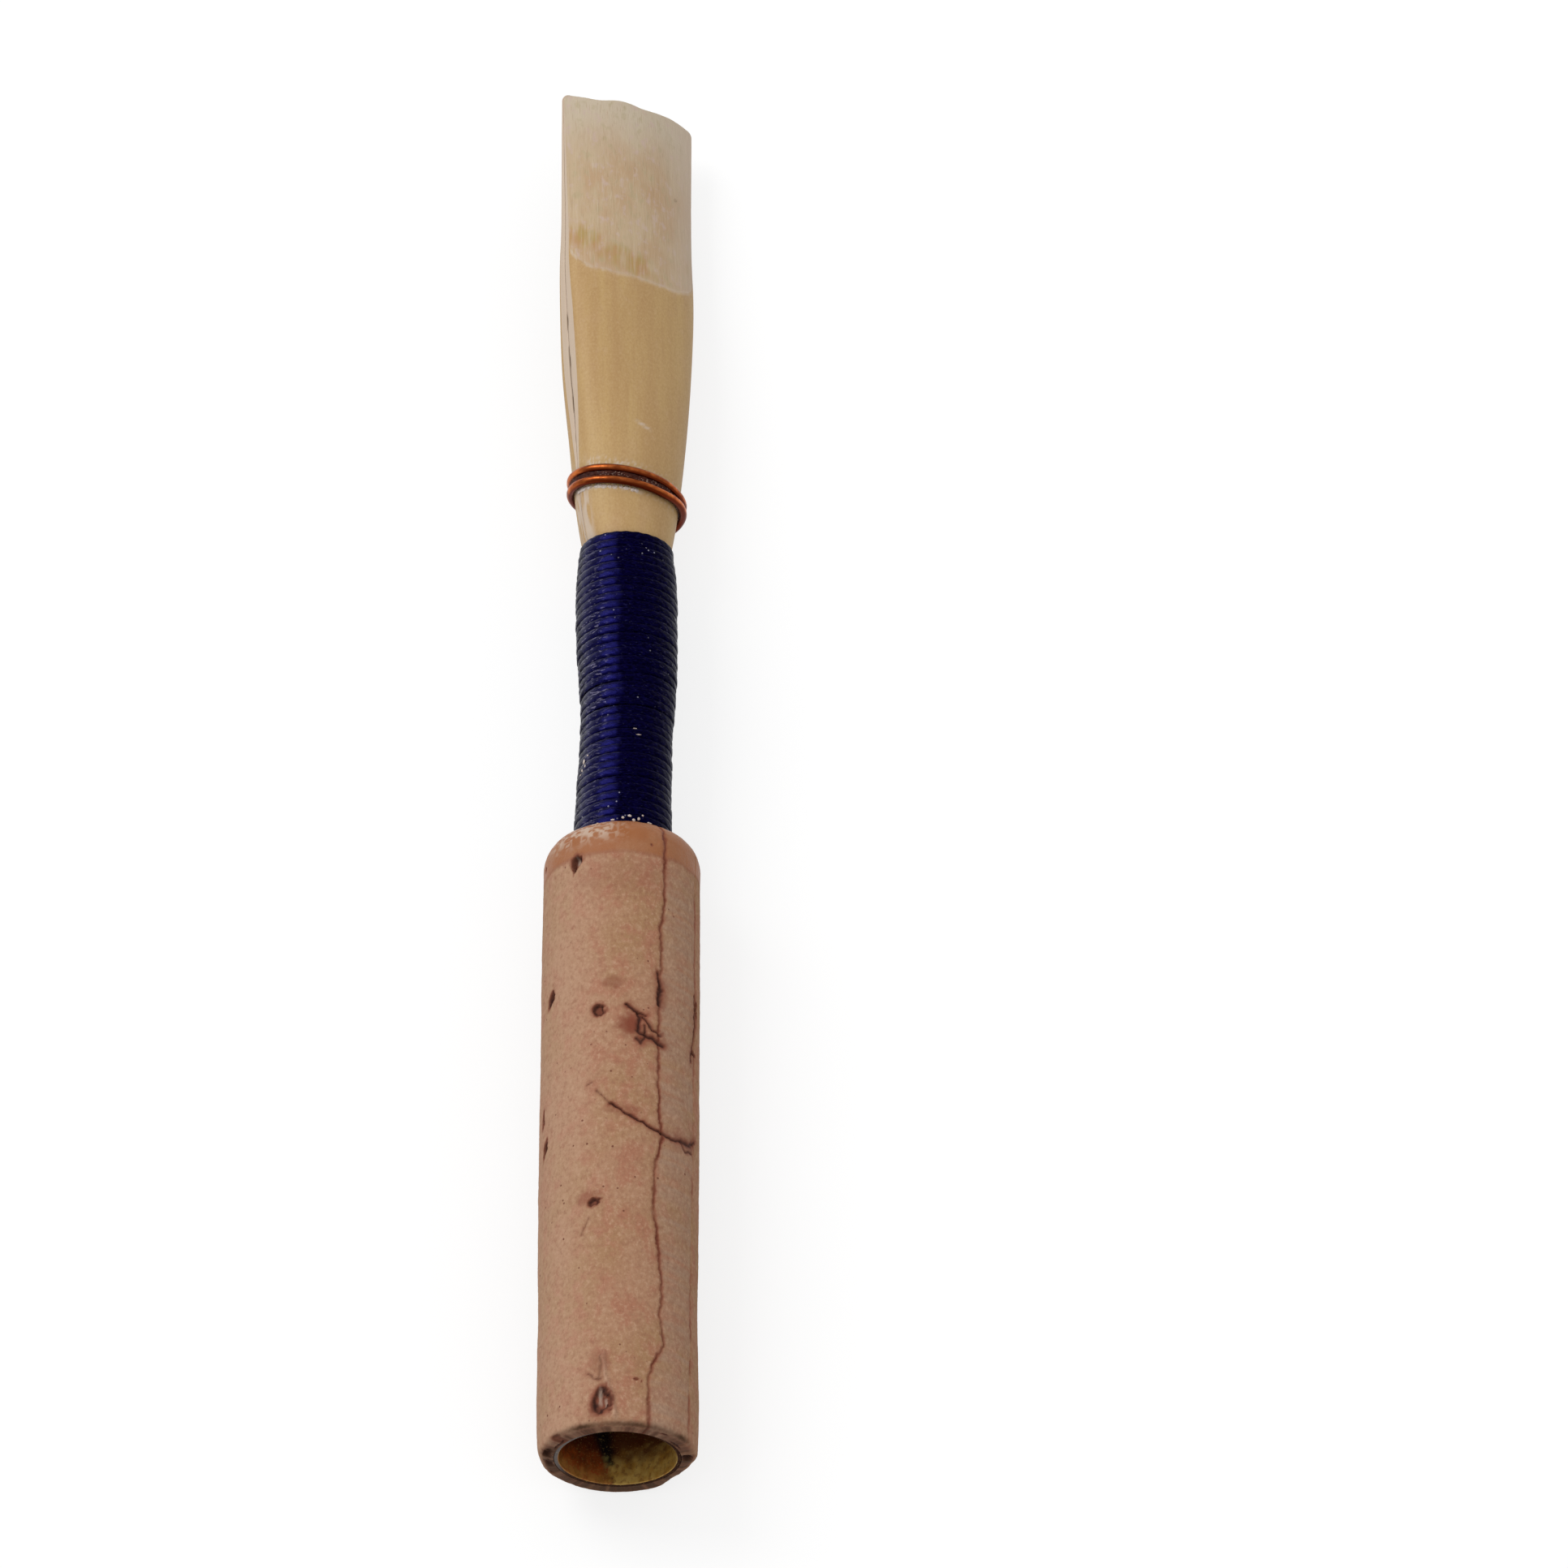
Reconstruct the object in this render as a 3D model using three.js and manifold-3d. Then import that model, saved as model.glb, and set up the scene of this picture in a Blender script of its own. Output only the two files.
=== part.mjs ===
// An oboe reed, 71 mm long: two blades of cane tied on a brass tube, the staple, with nylon
// thread, held to shape by a copper wire, and a cork sleeve that plugs into the oboe.
//
// Every piece is drawn standing on the staple's mouth, with the reed's axis on Z, its width
// along X and its front blade towards -Y. At the end the whole reed is rolled about its axis
// and laid down on its cork, with the tip towards +Y. Lengths are in millimetres.

import * as THREE from 'three';
import { mergeVertices } from 'three/addons/utils/BufferGeometryUtils.js';
import Module from 'manifold-3d';

const wasm = await Module();
wasm.setup();

// Staple: round from its mouth to the top of the cork, then oval, widest where the cane is widest
const mouthDiameter = 5.7;
const waistDiameter = 3.8;
const stapleTopWidth = 3.2;
const stapleTopDepth = 2.4;
const stapleWall = 0.2;
const seamBeadHeight = 0.05;

// Lengths up the staple: corked, bare under the thread, and inside the cane
const corkLength = 31;
const bareLength = 5.6;
const tieLength = 10.4;

// Cork sleeve
const corkWall = 0.75;
const corkRimRadius = 0.25;
const corkShoulderLength = 1.4;
const corkShoulderInset = 1.15;

// Cane: the free blades, their outline and their depth through both blades
const bladeLength = 24;
const wireLevelWidth = 5.0;
const wireLevelDepth = 3.9;
const bellyWidth = 5.9;
const bellyDepth = 3.86;
const backWidth = 6.44;
const backDepth = 3.4;
const tipWidth = 6.95;
const tipOpening = 1.56;
const tipCornerRadius = 0.4;

// Cane: how thick it is under the thread, at the crown of the blade and at its sides
const tailEndThickness = 0.06;
const bulgeCrownThickness = 0.49;
const bulgeSideThickness = 0.32;
const neckCrownThickness = 0.43;
const neckSideThickness = 0.28;
const throatCrownThickness = 0.57;
const throatSideThickness = 0.55;
const neckDrop = 0.8;

// Cane: the gouge, the flat cut along each side, and the scrape
const gougeThickness = 0.58;
const sideFlatHeight = 0.6;
const tipLandWidth = 0.08;
const scrapeLength = 10.35;
const scrapeSideRise = 1.6;
const scrapeStep = 0.1;
const scrapeStepRun = 0.14;
const scrapedSideHeight = 0.44;
const heartThickness = 0.42;
const tipThickness = 0.1;
const tipSideHeight = 0.09;

// Thread: one layer of flattened turns over its own plain sleeve
const threadWidth = 0.42;
const threadHeight = 0.32;
const threadTurnGap = 0.41;
const threadStopDrop = 0.3;
const threadSink = 0.01;

// Wire: two turns round the blades, its ends twisted together behind and folded down
const wireDiameter = 0.38;
const wireTurnGap = 0.42;
const wireHeight = 2.4;
const twistStandOff = 0.12;
const twistBendRadius = 0.42;
const twistLength = 2.6;
const twistPitch = 1.5;

// Clearances between pieces
const fitClearance = 0.03;
const seamClearance = 0.04;
const wireClearance = 0.05;

// Counts, angles and shares
const ringSides = 36;
const corkSides = 20;
const corkArcSteps = 5;
const bladeColumns = 18;
const tieRows = 6;
const throatRows = 3;
const backRows = 8;
const scrapeRows = 8;
const cornerRows = 4;
const threadLoopSteps = 24;
const threadTurnRows = 4;
const wireTurns = 2;
const wireLoopSteps = 36;
const wireSides = 8;
const twistLobeSteps = 6;
const twistSteps = 30;
const quarterTurn = Math.PI / 2;
const stapleSeamAngle = THREE.MathUtils.degToRad(65);
const tailWrapAngle = THREE.MathUtils.degToRad(62);
const twistFoldAngle = THREE.MathUtils.degToRad(98);
const wireGatherAngle = THREE.MathUtils.degToRad(50);
const rollAngle = THREE.MathUtils.degToRad(30);
const bulgePlaceShare = 0.667;
const bellyPlaceShare = 0.5;
const heartPlaceShare = 0.4;
const scrapeCurvePower = 3;
const throatFlatShare = 0.07;
const wireFlatShare = 0.12;
const bellyFlatShare = 0.9;
const wireLandShare = 0.17;
const bellyLandShare = 0.12;
const backLandShare = 0.08;
const landMiddleShare = 0.5;
const facetShiftShare = 0.5;
const wireLevelFromShare = 0.75;
const wireLiftedFromShare = 0.35;
const lobeSpreadShare = 0.9;

// Places up the reed, from the staple's mouth
const stapleLength = corkLength + bareLength + tieLength;
const reedLength = stapleLength + bladeLength;
const tailZ = corkLength + bareLength;
const neckZ = stapleLength - neckDrop;
const bulgeZ = THREE.MathUtils.lerp(tailZ, neckZ, bulgePlaceShare);
const threadTopZ = stapleLength - threadStopDrop;
const wireZ = stapleLength + wireHeight;
const scrapeZ = reedLength - scrapeLength;
const bellyZ = THREE.MathUtils.lerp(wireZ, scrapeZ, bellyPlaceShare);
const seamHalf = seamClearance / 2;
const facetReach = 1 / Math.cos(Math.PI / ringSides);
const corkRadius = mouthDiameter / 2 + fitClearance + corkWall;
const tiePlaces = spread(tailZ, neckZ, tieRows);

// A smooth curve through [place, size] stations, as a function of the place
function curveThrough(stations) {
  const last = stations.length - 1;
  const slopes = stations.map((station, i) => {
    const before = stations[Math.max(i - 1, 0)];
    const after = stations[Math.min(i + 1, last)];
    return (after[1] - before[1]) / (after[0] - before[0]);
  });
  return (place) => {
    let i = 0;
    while (i < last - 1 && place > stations[i + 1][0]) i += 1;
    const run = stations[i + 1][0] - stations[i][0];
    const t = THREE.MathUtils.clamp((place - stations[i][0]) / run, 0, 1);
    const blend = t * t * (3 - 2 * t);
    const leave = t * (1 - t) * (1 - t) * run * slopes[i];
    const arrive = t * t * (1 - t) * run * slopes[i + 1];
    return THREE.MathUtils.lerp(stations[i][1], stations[i + 1][1], blend) + leave - arrive;
  };
}

// A run of evenly spaced places from one value to another, both ends included
function spread(from, to, steps) {
  return Array.from({ length: steps + 1 }, (_, i) => THREE.MathUtils.lerp(from, to, i / steps));
}

// A thick skin between two grids of points. Rows go up the reed and columns go round it
// anticlockwise seen from the tip; the columns of a ring close on themselves.
function shell(outside, inside, isRing) {
  const rows = outside.length;
  const columns = outside[0].length;
  const spans = isRing ? columns : columns - 1;
  const outer = (row, column) => row * columns + (column % columns);
  const inner = (row, column) => rows * columns + outer(row, column);
  const triangles = [];
  const quad = (a, b, c, d) => triangles.push(a, b, c, a, c, d);
  for (let c = 0; c < spans; c += 1) {
    for (let r = 0; r < rows - 1; r += 1) {
      quad(outer(r, c), outer(r, c + 1), outer(r + 1, c + 1), outer(r + 1, c));
      quad(inner(r, c), inner(r + 1, c), inner(r + 1, c + 1), inner(r, c + 1));
    }
    quad(inner(0, c), inner(0, c + 1), outer(0, c + 1), outer(0, c));
    quad(outer(rows - 1, c), outer(rows - 1, c + 1), inner(rows - 1, c + 1), inner(rows - 1, c));
  }
  for (let r = 0; r < rows - 1 && !isRing; r += 1) {
    quad(outer(r, 0), outer(r + 1, 0), inner(r + 1, 0), inner(r, 0));
    quad(inner(r, spans), inner(r + 1, spans), outer(r + 1, spans), outer(r, spans));
  }
  return meshOf([...outside.flat(), ...inside.flat()], triangles);
}

// A solid swept through frames. Each frame has an origin and two directions, across and along,
// and the outline's points are measured from the origin in those directions.
function sweep(frames, outline) {
  const count = outline.length;
  const points = frames.flatMap(({ origin, across, along }) => outline.map(([p, q]) => (
    origin.clone().addScaledVector(across, p).addScaledVector(along, q))));
  const startCentre = points.push(frames[0].origin) - 1;
  const endCentre = points.push(frames.at(-1).origin) - 1;
  const triangles = [];
  for (let j = 0; j < count; j += 1) {
    const next = (j + 1) % count;
    for (let i = 0; i < frames.length - 1; i += 1) {
      const row = i * count;
      triangles.push(row + j, row + next, row + count + next);
      triangles.push(row + j, row + count + next, row + count + j);
    }
    const lastRow = (frames.length - 1) * count;
    triangles.push(startCentre, next, j);
    triangles.push(endCentre, lastRow + j, lastRow + next);
  }
  return meshOf(points, triangles);
}

function meshOf(points, triangles) {
  const geometry = new THREE.BufferGeometry();
  const positions = points.flatMap((point) => point.toArray());
  geometry.setAttribute('position', new THREE.Float32BufferAttribute(positions, 3));
  geometry.setIndex(triangles);
  return geometry;
}

// Two closed solids fused into one
function fuse(first, second) {
  const [a, b] = [first, second].map((geometry) => {
    const merged = mergeVertices(geometry);
    return new wasm.Manifold(new wasm.Mesh({
      numProp: 3,
      vertProperties: merged.attributes.position.array,
      triVerts: new Uint32Array(merged.index.array),
    }));
  });
  const { vertProperties, triVerts } = a.add(b).getMesh();
  const geometry = new THREE.BufferGeometry();
  geometry.setAttribute('position', new THREE.BufferAttribute(vertProperties, 3));
  geometry.setIndex(new THREE.BufferAttribute(triVerts, 1));
  return geometry;
}

// An oval ring of points, the first of them a share of a facet past +X
function ovalRing(halfWidth, halfDepth, z, sides, shiftShare) {
  return Array.from({ length: sides }, (_, i) => {
    const angle = ((i + shiftShare) / sides) * 2 * Math.PI;
    return new THREE.Vector3(halfWidth * Math.cos(angle), halfDepth * Math.sin(angle), z);
  });
}

function ovalOutline(halfAcross, halfAlong, sides) {
  return Array.from({ length: sides }, (_, i) => {
    const angle = (i / sides) * 2 * Math.PI;
    return [halfAcross * Math.cos(angle), halfAlong * Math.sin(angle)];
  });
}

// The least gap between lengths of a winding that lie half a turn or more apart
function leastGap(points, stepsPerTurn, width) {
  let least = Infinity;
  points.forEach((point, i) => {
    for (let j = i + stepsPerTurn / 2; j < points.length; j += 1) {
      least = Math.min(least, point.distanceTo(points[j]));
    }
  });
  return least - width;
}

// Half width and half depth of the staple's outside
function stapleOutside(z) {
  if (z <= corkLength) {
    const radius = THREE.MathUtils.lerp(mouthDiameter, waistDiameter, z / corkLength) / 2;
    return [radius, radius];
  }
  const share = Math.min((z - corkLength) / (bareLength + tieLength), 1);
  return [
    THREE.MathUtils.lerp(waistDiameter, stapleTopWidth, share) / 2,
    THREE.MathUtils.lerp(waistDiameter, stapleTopDepth, share) / 2,
  ];
}

// The tube is rolled from sheet and brazed: the seam shows as a low bead inside
function stapleTube() {
  const places = [0, corkLength, ...tiePlaces, stapleLength];
  const seamColumn = Math.floor((stapleSeamAngle / (2 * Math.PI)) * ringSides);
  const ringAt = (z, wall) => {
    const [halfWidth, halfDepth] = stapleOutside(z).map((half) => half - wall);
    return ovalRing(halfWidth, halfDepth, z, ringSides, facetShiftShare);
  };
  const outside = places.map((z) => ringAt(z, 0));
  const inside = places.map((z) => {
    const ring = ringAt(z, stapleWall);
    ring[seamColumn] = ringAt(z, stapleWall + seamBeadHeight)[seamColumn];
    return ring;
  });
  return shell(outside, inside, true);
}

// The cork's bore follows the staple, and its top shoulder is sanded round
function corkSleeve() {
  const reach = 1 / Math.cos(Math.PI / corkSides);
  const boreAt = (diameter) => (diameter / 2 + fitClearance) * reach;
  const profile = new THREE.Path();
  const topRadius = corkRadius - corkShoulderInset;
  const shoulderZ = corkLength - corkShoulderLength;
  profile.moveTo(boreAt(mouthDiameter), 0);
  profile.lineTo(corkRadius - corkRimRadius, 0);
  profile.absarc(corkRadius - corkRimRadius, corkRimRadius, corkRimRadius, -quarterTurn, 0);
  profile.lineTo(corkRadius, shoulderZ);
  profile.absellipse(topRadius, shoulderZ, corkShoulderInset, corkShoulderLength, 0, quarterTurn);
  profile.lineTo(boreAt(waistDiameter), corkLength);
  profile.lineTo(boreAt(mouthDiameter), 0);
  const points = profile.getPoints(corkArcSteps);
  return new THREE.LatheGeometry(points, corkSides, Math.PI / corkSides).rotateX(quarterTurn);
}

// Outside of the cane under the thread: what the staple measures there, and the cane on top
function overStaple(z, side, thickness) {
  return stapleOutside(z)[side] + fitClearance + thickness;
}

const caneHalfWidth = curveThrough([
  [tailZ, overStaple(tailZ, 0, tailEndThickness)],
  [bulgeZ, overStaple(bulgeZ, 0, bulgeSideThickness)],
  [neckZ, overStaple(neckZ, 0, neckSideThickness)],
  [stapleLength, overStaple(stapleLength, 0, throatSideThickness)],
  [wireZ, wireLevelWidth / 2],
  [bellyZ, bellyWidth / 2],
  [scrapeZ, backWidth / 2],
  [reedLength, tipWidth / 2],
]);

const barkHalfDepth = curveThrough([
  [tailZ, overStaple(tailZ, 1, tailEndThickness)],
  [bulgeZ, overStaple(bulgeZ, 1, bulgeCrownThickness)],
  [neckZ, overStaple(neckZ, 1, neckCrownThickness)],
  [stapleLength, overStaple(stapleLength, 1, throatCrownThickness)],
  [wireZ, wireLevelDepth / 2],
  [bellyZ, bellyDepth / 2],
  [scrapeZ, backDepth / 2],
  [reedLength, tipOpening / 2 + gougeThickness],
]);

// The hollow between the blades, above the staple
const hollowHalfDepth = curveThrough([
  [stapleLength, overStaple(stapleLength, 1, 0)],
  [wireZ, wireLevelDepth / 2 - gougeThickness],
  [bellyZ, bellyDepth / 2 - gougeThickness],
  [scrapeZ, backDepth / 2 - gougeThickness],
  [reedLength, tipOpening / 2],
]);

const hollowHalfWidth = curveThrough([
  [stapleLength, overStaple(stapleLength, 0, 0)],
  [wireZ, (wireLevelWidth / 2) * (1 - wireLandShare)],
  [bellyZ, (bellyWidth / 2) * (1 - bellyLandShare)],
  [scrapeZ, (backWidth / 2) * (1 - backLandShare)],
  [reedLength, tipWidth / 2 - tipLandWidth],
]);

const barkSideFlat = curveThrough([
  [tailZ, sideFlatHeight * throatFlatShare],
  [stapleLength, sideFlatHeight * throatFlatShare],
  [wireZ, sideFlatHeight * wireFlatShare],
  [bellyZ, sideFlatHeight * bellyFlatShare],
  [scrapeZ, sideFlatHeight],
  [reedLength, sideFlatHeight],
]);

// Along the scrape, from its lower line to the tip, as shares of that length
const scrapedCrown = curveThrough([
  [0, gougeThickness - scrapeStep],
  [heartPlaceShare, heartThickness],
  [1, tipThickness],
]);

const scrapedSideFlat = curveThrough([
  [0, scrapedSideHeight],
  [1, tipSideHeight],
]);

// The scrape's lower line is a shallow U across the blade; share runs from -1 to 1 across it
function scrapeLineZ(share) {
  return scrapeZ + scrapeSideRise * Math.abs(share) ** scrapeCurvePower;
}

// The tip's corners are cut round
function cornerInset(z) {
  const up = Math.max(z - (reedLength - tipCornerRadius), 0);
  return tipCornerRadius - Math.sqrt(Math.max(tipCornerRadius ** 2 - up ** 2, 0));
}

// Sizes of one blade's section. The outside is an oval that stands on the side flats, the
// inside an oval that stands on the seam, and both flatten to arcs towards the tip.
function bladeSection(z, share, isScraped) {
  const onStaple = z <= stapleLength;
  const up = (z - scrapeLineZ(share)) / (reedLength - scrapeLineZ(share));
  const halfWidth = caneHalfWidth(z) - cornerInset(z);
  const hollowDepth = onStaple ? overStaple(z, 1, 0) * facetReach : hollowHalfDepth(z);
  const hollowWidth = onStaple ? overStaple(z, 0, 0) * facetReach : hollowHalfWidth(z);
  return {
    halfWidth,
    halfDepth: isScraped ? hollowDepth + scrapedCrown(up) : barkHalfDepth(z),
    flat: isScraped ? scrapedSideFlat(up) : barkSideFlat(z),
    hollowWidth: hollowWidth - cornerInset(z),
    hollowDepth,
    roundness: THREE.MathUtils.lerp(1, 2, THREE.MathUtils.smoothstep(z, bellyZ, reedLength)),
    wrap: onStaple ? wrapAngle(z) : quarterTurn,
  };
}

// Each tail is a strip that grows to half the way round where the staple ends
function wrapAngle(z) {
  return THREE.MathUtils.lerp(tailWrapAngle, quarterTurn, (z - tailZ) / tieLength);
}

function bladeOutsidePoint(section, angle, z) {
  const { halfWidth, halfDepth, flat, roundness } = section;
  const rise = flat + (halfDepth - flat) * Math.cos(angle) ** roundness;
  return new THREE.Vector3(halfWidth * Math.sin(angle), -rise, z);
}

function bladeInsidePoint(section, angle, z) {
  const { hollowWidth, hollowDepth, roundness } = section;
  const rise = seamHalf + (hollowDepth - seamHalf) * Math.cos(angle) ** roundness;
  return new THREE.Vector3(hollowWidth * Math.sin(angle), -rise, z);
}

// Rows of places up the blade: each is a function of the share across it
function bladeRows() {
  const level = (z) => ({ placeAt: () => z, isScraped: false });
  const tie = [...tiePlaces, threadTopZ, stapleLength];
  const throat = spread(stapleLength, wireZ, throatRows).slice(1);
  const back = spread(0, 1, backRows).slice(1).map((part) => ({
    placeAt: (share) => THREE.MathUtils.lerp(wireZ, scrapeLineZ(share), part),
    isScraped: false,
  }));
  const shoulderOf = (share) => scrapeLineZ(share) + scrapeStepRun;
  const scrape = spread(0, 1, scrapeRows).map((part) => ({
    placeAt: (share) => THREE.MathUtils.lerp(shoulderOf(share), reedLength - tipCornerRadius, part),
    isScraped: true,
  }));
  const corner = spread(0, quarterTurn, cornerRows).slice(1).map((angle) => ({
    placeAt: () => reedLength - tipCornerRadius * (1 - Math.sin(angle)),
    isScraped: true,
  }));
  return [...tie.map(level), ...throat.map(level), ...back, ...scrape, ...corner];
}

// One blade of cane. Along both edges it has a flat cut by the knife and a land, where it
// lies against the other blade.
function blade() {
  const shares = spread(-1, 1, bladeColumns);
  const outside = [];
  const inside = [];
  bladeRows().forEach(({ placeAt, isScraped }) => {
    const outerRow = [];
    const innerRow = [];
    shares.forEach((share) => {
      const z = placeAt(share);
      const section = bladeSection(z, share, isScraped);
      const outerPoint = bladeOutsidePoint(section, share * section.wrap, z);
      const innerPoint = bladeInsidePoint(section, share * section.wrap, z);
      const corner = new THREE.Vector3(outerPoint.x, innerPoint.y, z);
      const land = innerPoint.clone().lerp(corner, landMiddleShare);
      if (share === -1) {
        outerRow.push(corner);
        innerRow.push(land);
      }
      outerRow.push(outerPoint);
      innerRow.push(innerPoint);
      if (share === 1) {
        outerRow.push(corner);
        innerRow.push(land);
      }
    });
    outside.push(outerRow);
    inside.push(innerRow);
  });
  return shell(outside, inside, false);
}

// The cane's outside where the wire lies
const wireSeat = bladeSection(wireZ, 0, false);

// Half width and half depth of what the thread is wound on
function underThread(z) {
  if (z < tailZ) return stapleOutside(z).map((half) => half + fitClearance);
  return [caneHalfWidth(z) + fitClearance, barkHalfDepth(z) + fitClearance];
}

// The thread: one unbroken thread wound from the cork to the throat, its inner half sunk in a
// plain sleeve. Each turn is drawn as the rows of points over it, and a row that would pass an
// end of the sleeve stops there.
function threadWinding() {
  const bottomZ = corkLength + fitClearance;
  const pitch = threadWidth + threadTurnGap;
  const reach = 1 / Math.cos(Math.PI / threadLoopSteps);
  const sleeveWall = threadHeight / 2 + threadSink;
  const bore = (z) => underThread(z).map((half) => half * reach);
  const over = (z) => bore(z).map((half) => half + sleeveWall);
  const acrossTurn = spread(Math.PI, 0, threadTurnRows).map((angle) => ({
    place: (threadWidth / 2) * Math.cos(angle),
    height: (threadHeight / 2) * Math.sin(angle),
  }));
  const climb = (step) => (pitch * step) / threadLoopSteps;
  const pointAt = (start, height, step) => {
    const z = THREE.MathUtils.clamp(start + climb(step), bottomZ, threadTopZ);
    const rise = z === start + climb(step) ? height : 0;
    const [halfWidth, halfDepth] = over(z).map((half) => half + rise);
    const angle = (step / threadLoopSteps) * 2 * Math.PI;
    return new THREE.Vector3(halfWidth * Math.cos(angle), halfDepth * Math.sin(angle), z);
  };
  const turns = Math.ceil((threadTopZ - bottomZ) / pitch) + 1;
  const starts = Array.from({ length: turns + 1 }, (_, n) => bottomZ + (n - 1) * pitch);
  const rows = starts.flatMap((start) => acrossTurn.map(({ place, height }) => (
    Array.from({ length: threadLoopSteps + 1 }, (_, step) => (
      pointAt(start + place, height, step))))));
  const boreRows = [bottomZ, ...tiePlaces, threadTopZ].map((z) => {
    const ring = ovalRing(...bore(z), z, threadLoopSteps, 0);
    return [...ring, ring[0]];
  });
  printThreadGap(starts, (start, step) => pointAt(start, threadHeight / 2, step));
  const around = [...rows, ...boreRows.reverse(), rows[0]];
  return skinOf(around);
}

// A closed skin over rows of points that go round the reed one after the other, from which
// the triangles with no area, where rows run together, are left out
function skinOf(rows) {
  const corners = [];
  for (let r = 0; r < rows.length - 1; r += 1) {
    for (let c = 0; c < rows[r].length - 1; c += 1) {
      const [a, b] = [rows[r][c], rows[r][c + 1]];
      const [d, e] = [rows[r + 1][c + 1], rows[r + 1][c]];
      corners.push(a, b, d, a, d, e);
    }
  }
  const geometry = mergeVertices(new THREE.BufferGeometry().setFromPoints(corners));
  const index = geometry.index.array;
  const kept = [];
  for (let i = 0; i < index.length; i += 3) {
    const [a, b, c] = index.subarray(i, i + 3);
    if (a !== b && b !== c && c !== a) kept.push(a, b, c);
  }
  return geometry.setIndex(kept);
}

function printThreadGap(starts, topAt) {
  const points = starts.flatMap((start) => (
    Array.from({ length: threadLoopSteps }, (_, step) => topAt(start, step))));
  const onSleeve = points.filter(({ z }) => z > corkLength + fitClearance && z < threadTopZ);
  const gap = leastGap(onSleeve, threadLoopSteps, threadWidth);
  const turns = (onSleeve.length / threadLoopSteps).toFixed(1);
  console.log(`thread_winding: ${turns} turns, least gap between them ${gap.toFixed(2)} mm`);
}

// A point of the wire's middle line at an angle round the reed: square off the cane's outside
function wirePoint(angle, z, lift) {
  const { halfWidth, halfDepth } = wireSeat;
  const outward = new THREE.Vector3(Math.cos(angle) / halfWidth, Math.sin(angle) / halfDepth, 0);
  outward.normalize();
  const onCane = new THREE.Vector3(halfWidth * Math.cos(angle), halfDepth * Math.sin(angle), z);
  const standOff = wireDiameter / 2 + wireClearance + lift;
  return { origin: onCane.addScaledVector(outward, standOff), outward };
}

// Two turns that climb by their own width and a gap. Behind, both ends rise over the turn
// between them and come together.
function wireTurnFrames() {
  const pitch = wireDiameter + wireTurnGap;
  const lift = wireDiameter + wireClearance;
  const endAngle = Math.asin((lobeSpreadShare * wireDiameter) / 2 / wireSeat.halfDepth);
  const from = quarterTurn + endAngle;
  const to = quarterTurn + wireTurns * 2 * Math.PI - endAngle;
  const path = spread(from, to, wireTurns * wireLoopSteps).map((angle) => {
    const turned = (angle - quarterTurn) / (2 * Math.PI) - wireTurns / 2;
    const fromEnd = Math.min(angle - from, to - angle) / wireGatherAngle;
    const away = THREE.MathUtils.smoothstep(fromEnd, 0, wireLevelFromShare);
    const lifted = 1 - THREE.MathUtils.smoothstep(fromEnd, wireLiftedFromShare, 1);
    return wirePoint(angle, wireZ - turned * pitch * away, lift * lifted);
  });
  return path.map(({ origin, outward }, i) => {
    const before = path[Math.max(i - 1, 0)].origin;
    const after = path[Math.min(i + 1, path.length - 1)].origin;
    const onward = after.clone().sub(before).normalize();
    const across = outward.clone().addScaledVector(onward, -outward.dot(onward)).normalize();
    return { origin, across, along: onward.clone().cross(across) };
  });
}

// The twisted ends: out from the cane, folded over and down towards the thread
function twistFrames(baseY) {
  const stub = wireDiameter / 2 + twistStandOff;
  const arc = twistBendRadius * twistFoldAngle;
  const length = stub + arc + twistLength;
  return spread(0, length, twistSteps).map((s) => {
    const bend = THREE.MathUtils.clamp((s - stub) / twistBendRadius, 0, twistFoldAngle);
    const past = Math.max(s - stub - arc, 0);
    const heading = new THREE.Vector3(0, Math.cos(bend), -Math.sin(bend));
    const origin = new THREE.Vector3(0, baseY + Math.min(s, stub), wireZ);
    origin.y += twistBendRadius * Math.sin(bend);
    origin.z -= twistBendRadius * (1 - Math.cos(bend));
    origin.addScaledVector(heading, past);
    const side = new THREE.Vector3(1, 0, 0);
    const square = heading.clone().cross(side);
    const turn = (s / twistPitch) * 2 * Math.PI;
    return {
      origin,
      across: side.clone().multiplyScalar(Math.cos(turn)).addScaledVector(square, Math.sin(turn)),
      along: square.multiplyScalar(Math.cos(turn)).addScaledVector(side, -Math.sin(turn)),
    };
  });
}

// Two wires side by side, as one outline that is pinched between them
function twoWireOutline() {
  const radius = wireDiameter / 2;
  const pinch = Math.PI - Math.acos(lobeSpreadShare);
  return [0, Math.PI].flatMap((turn) => (
    spread(-pinch, pinch, twistLobeSteps).slice(1).map((angle) => {
      const p = radius * (lobeSpreadShare + Math.cos(angle));
      const q = radius * Math.sin(angle);
      return [p * Math.cos(turn), p * Math.sin(turn) + q * Math.cos(turn)];
    })));
}

function wire() {
  const frames = wireTurnFrames();
  const points = frames.map(({ origin }) => origin);
  const gathered = Math.ceil((wireGatherAngle / (2 * Math.PI)) * wireLoopSteps);
  const gap = leastGap(points.slice(gathered, -gathered), wireLoopSteps, wireDiameter);
  console.log(`wire: least gap between its two turns ${gap.toFixed(2)} mm`);
  const radius = wireDiameter / 2;
  const turns = sweep(frames, ovalOutline(radius, radius, wireSides));
  const twist = sweep(twistFrames(frames[0].origin.y - radius), twoWireOutline());
  return fuse(turns, twist);
}

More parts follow.
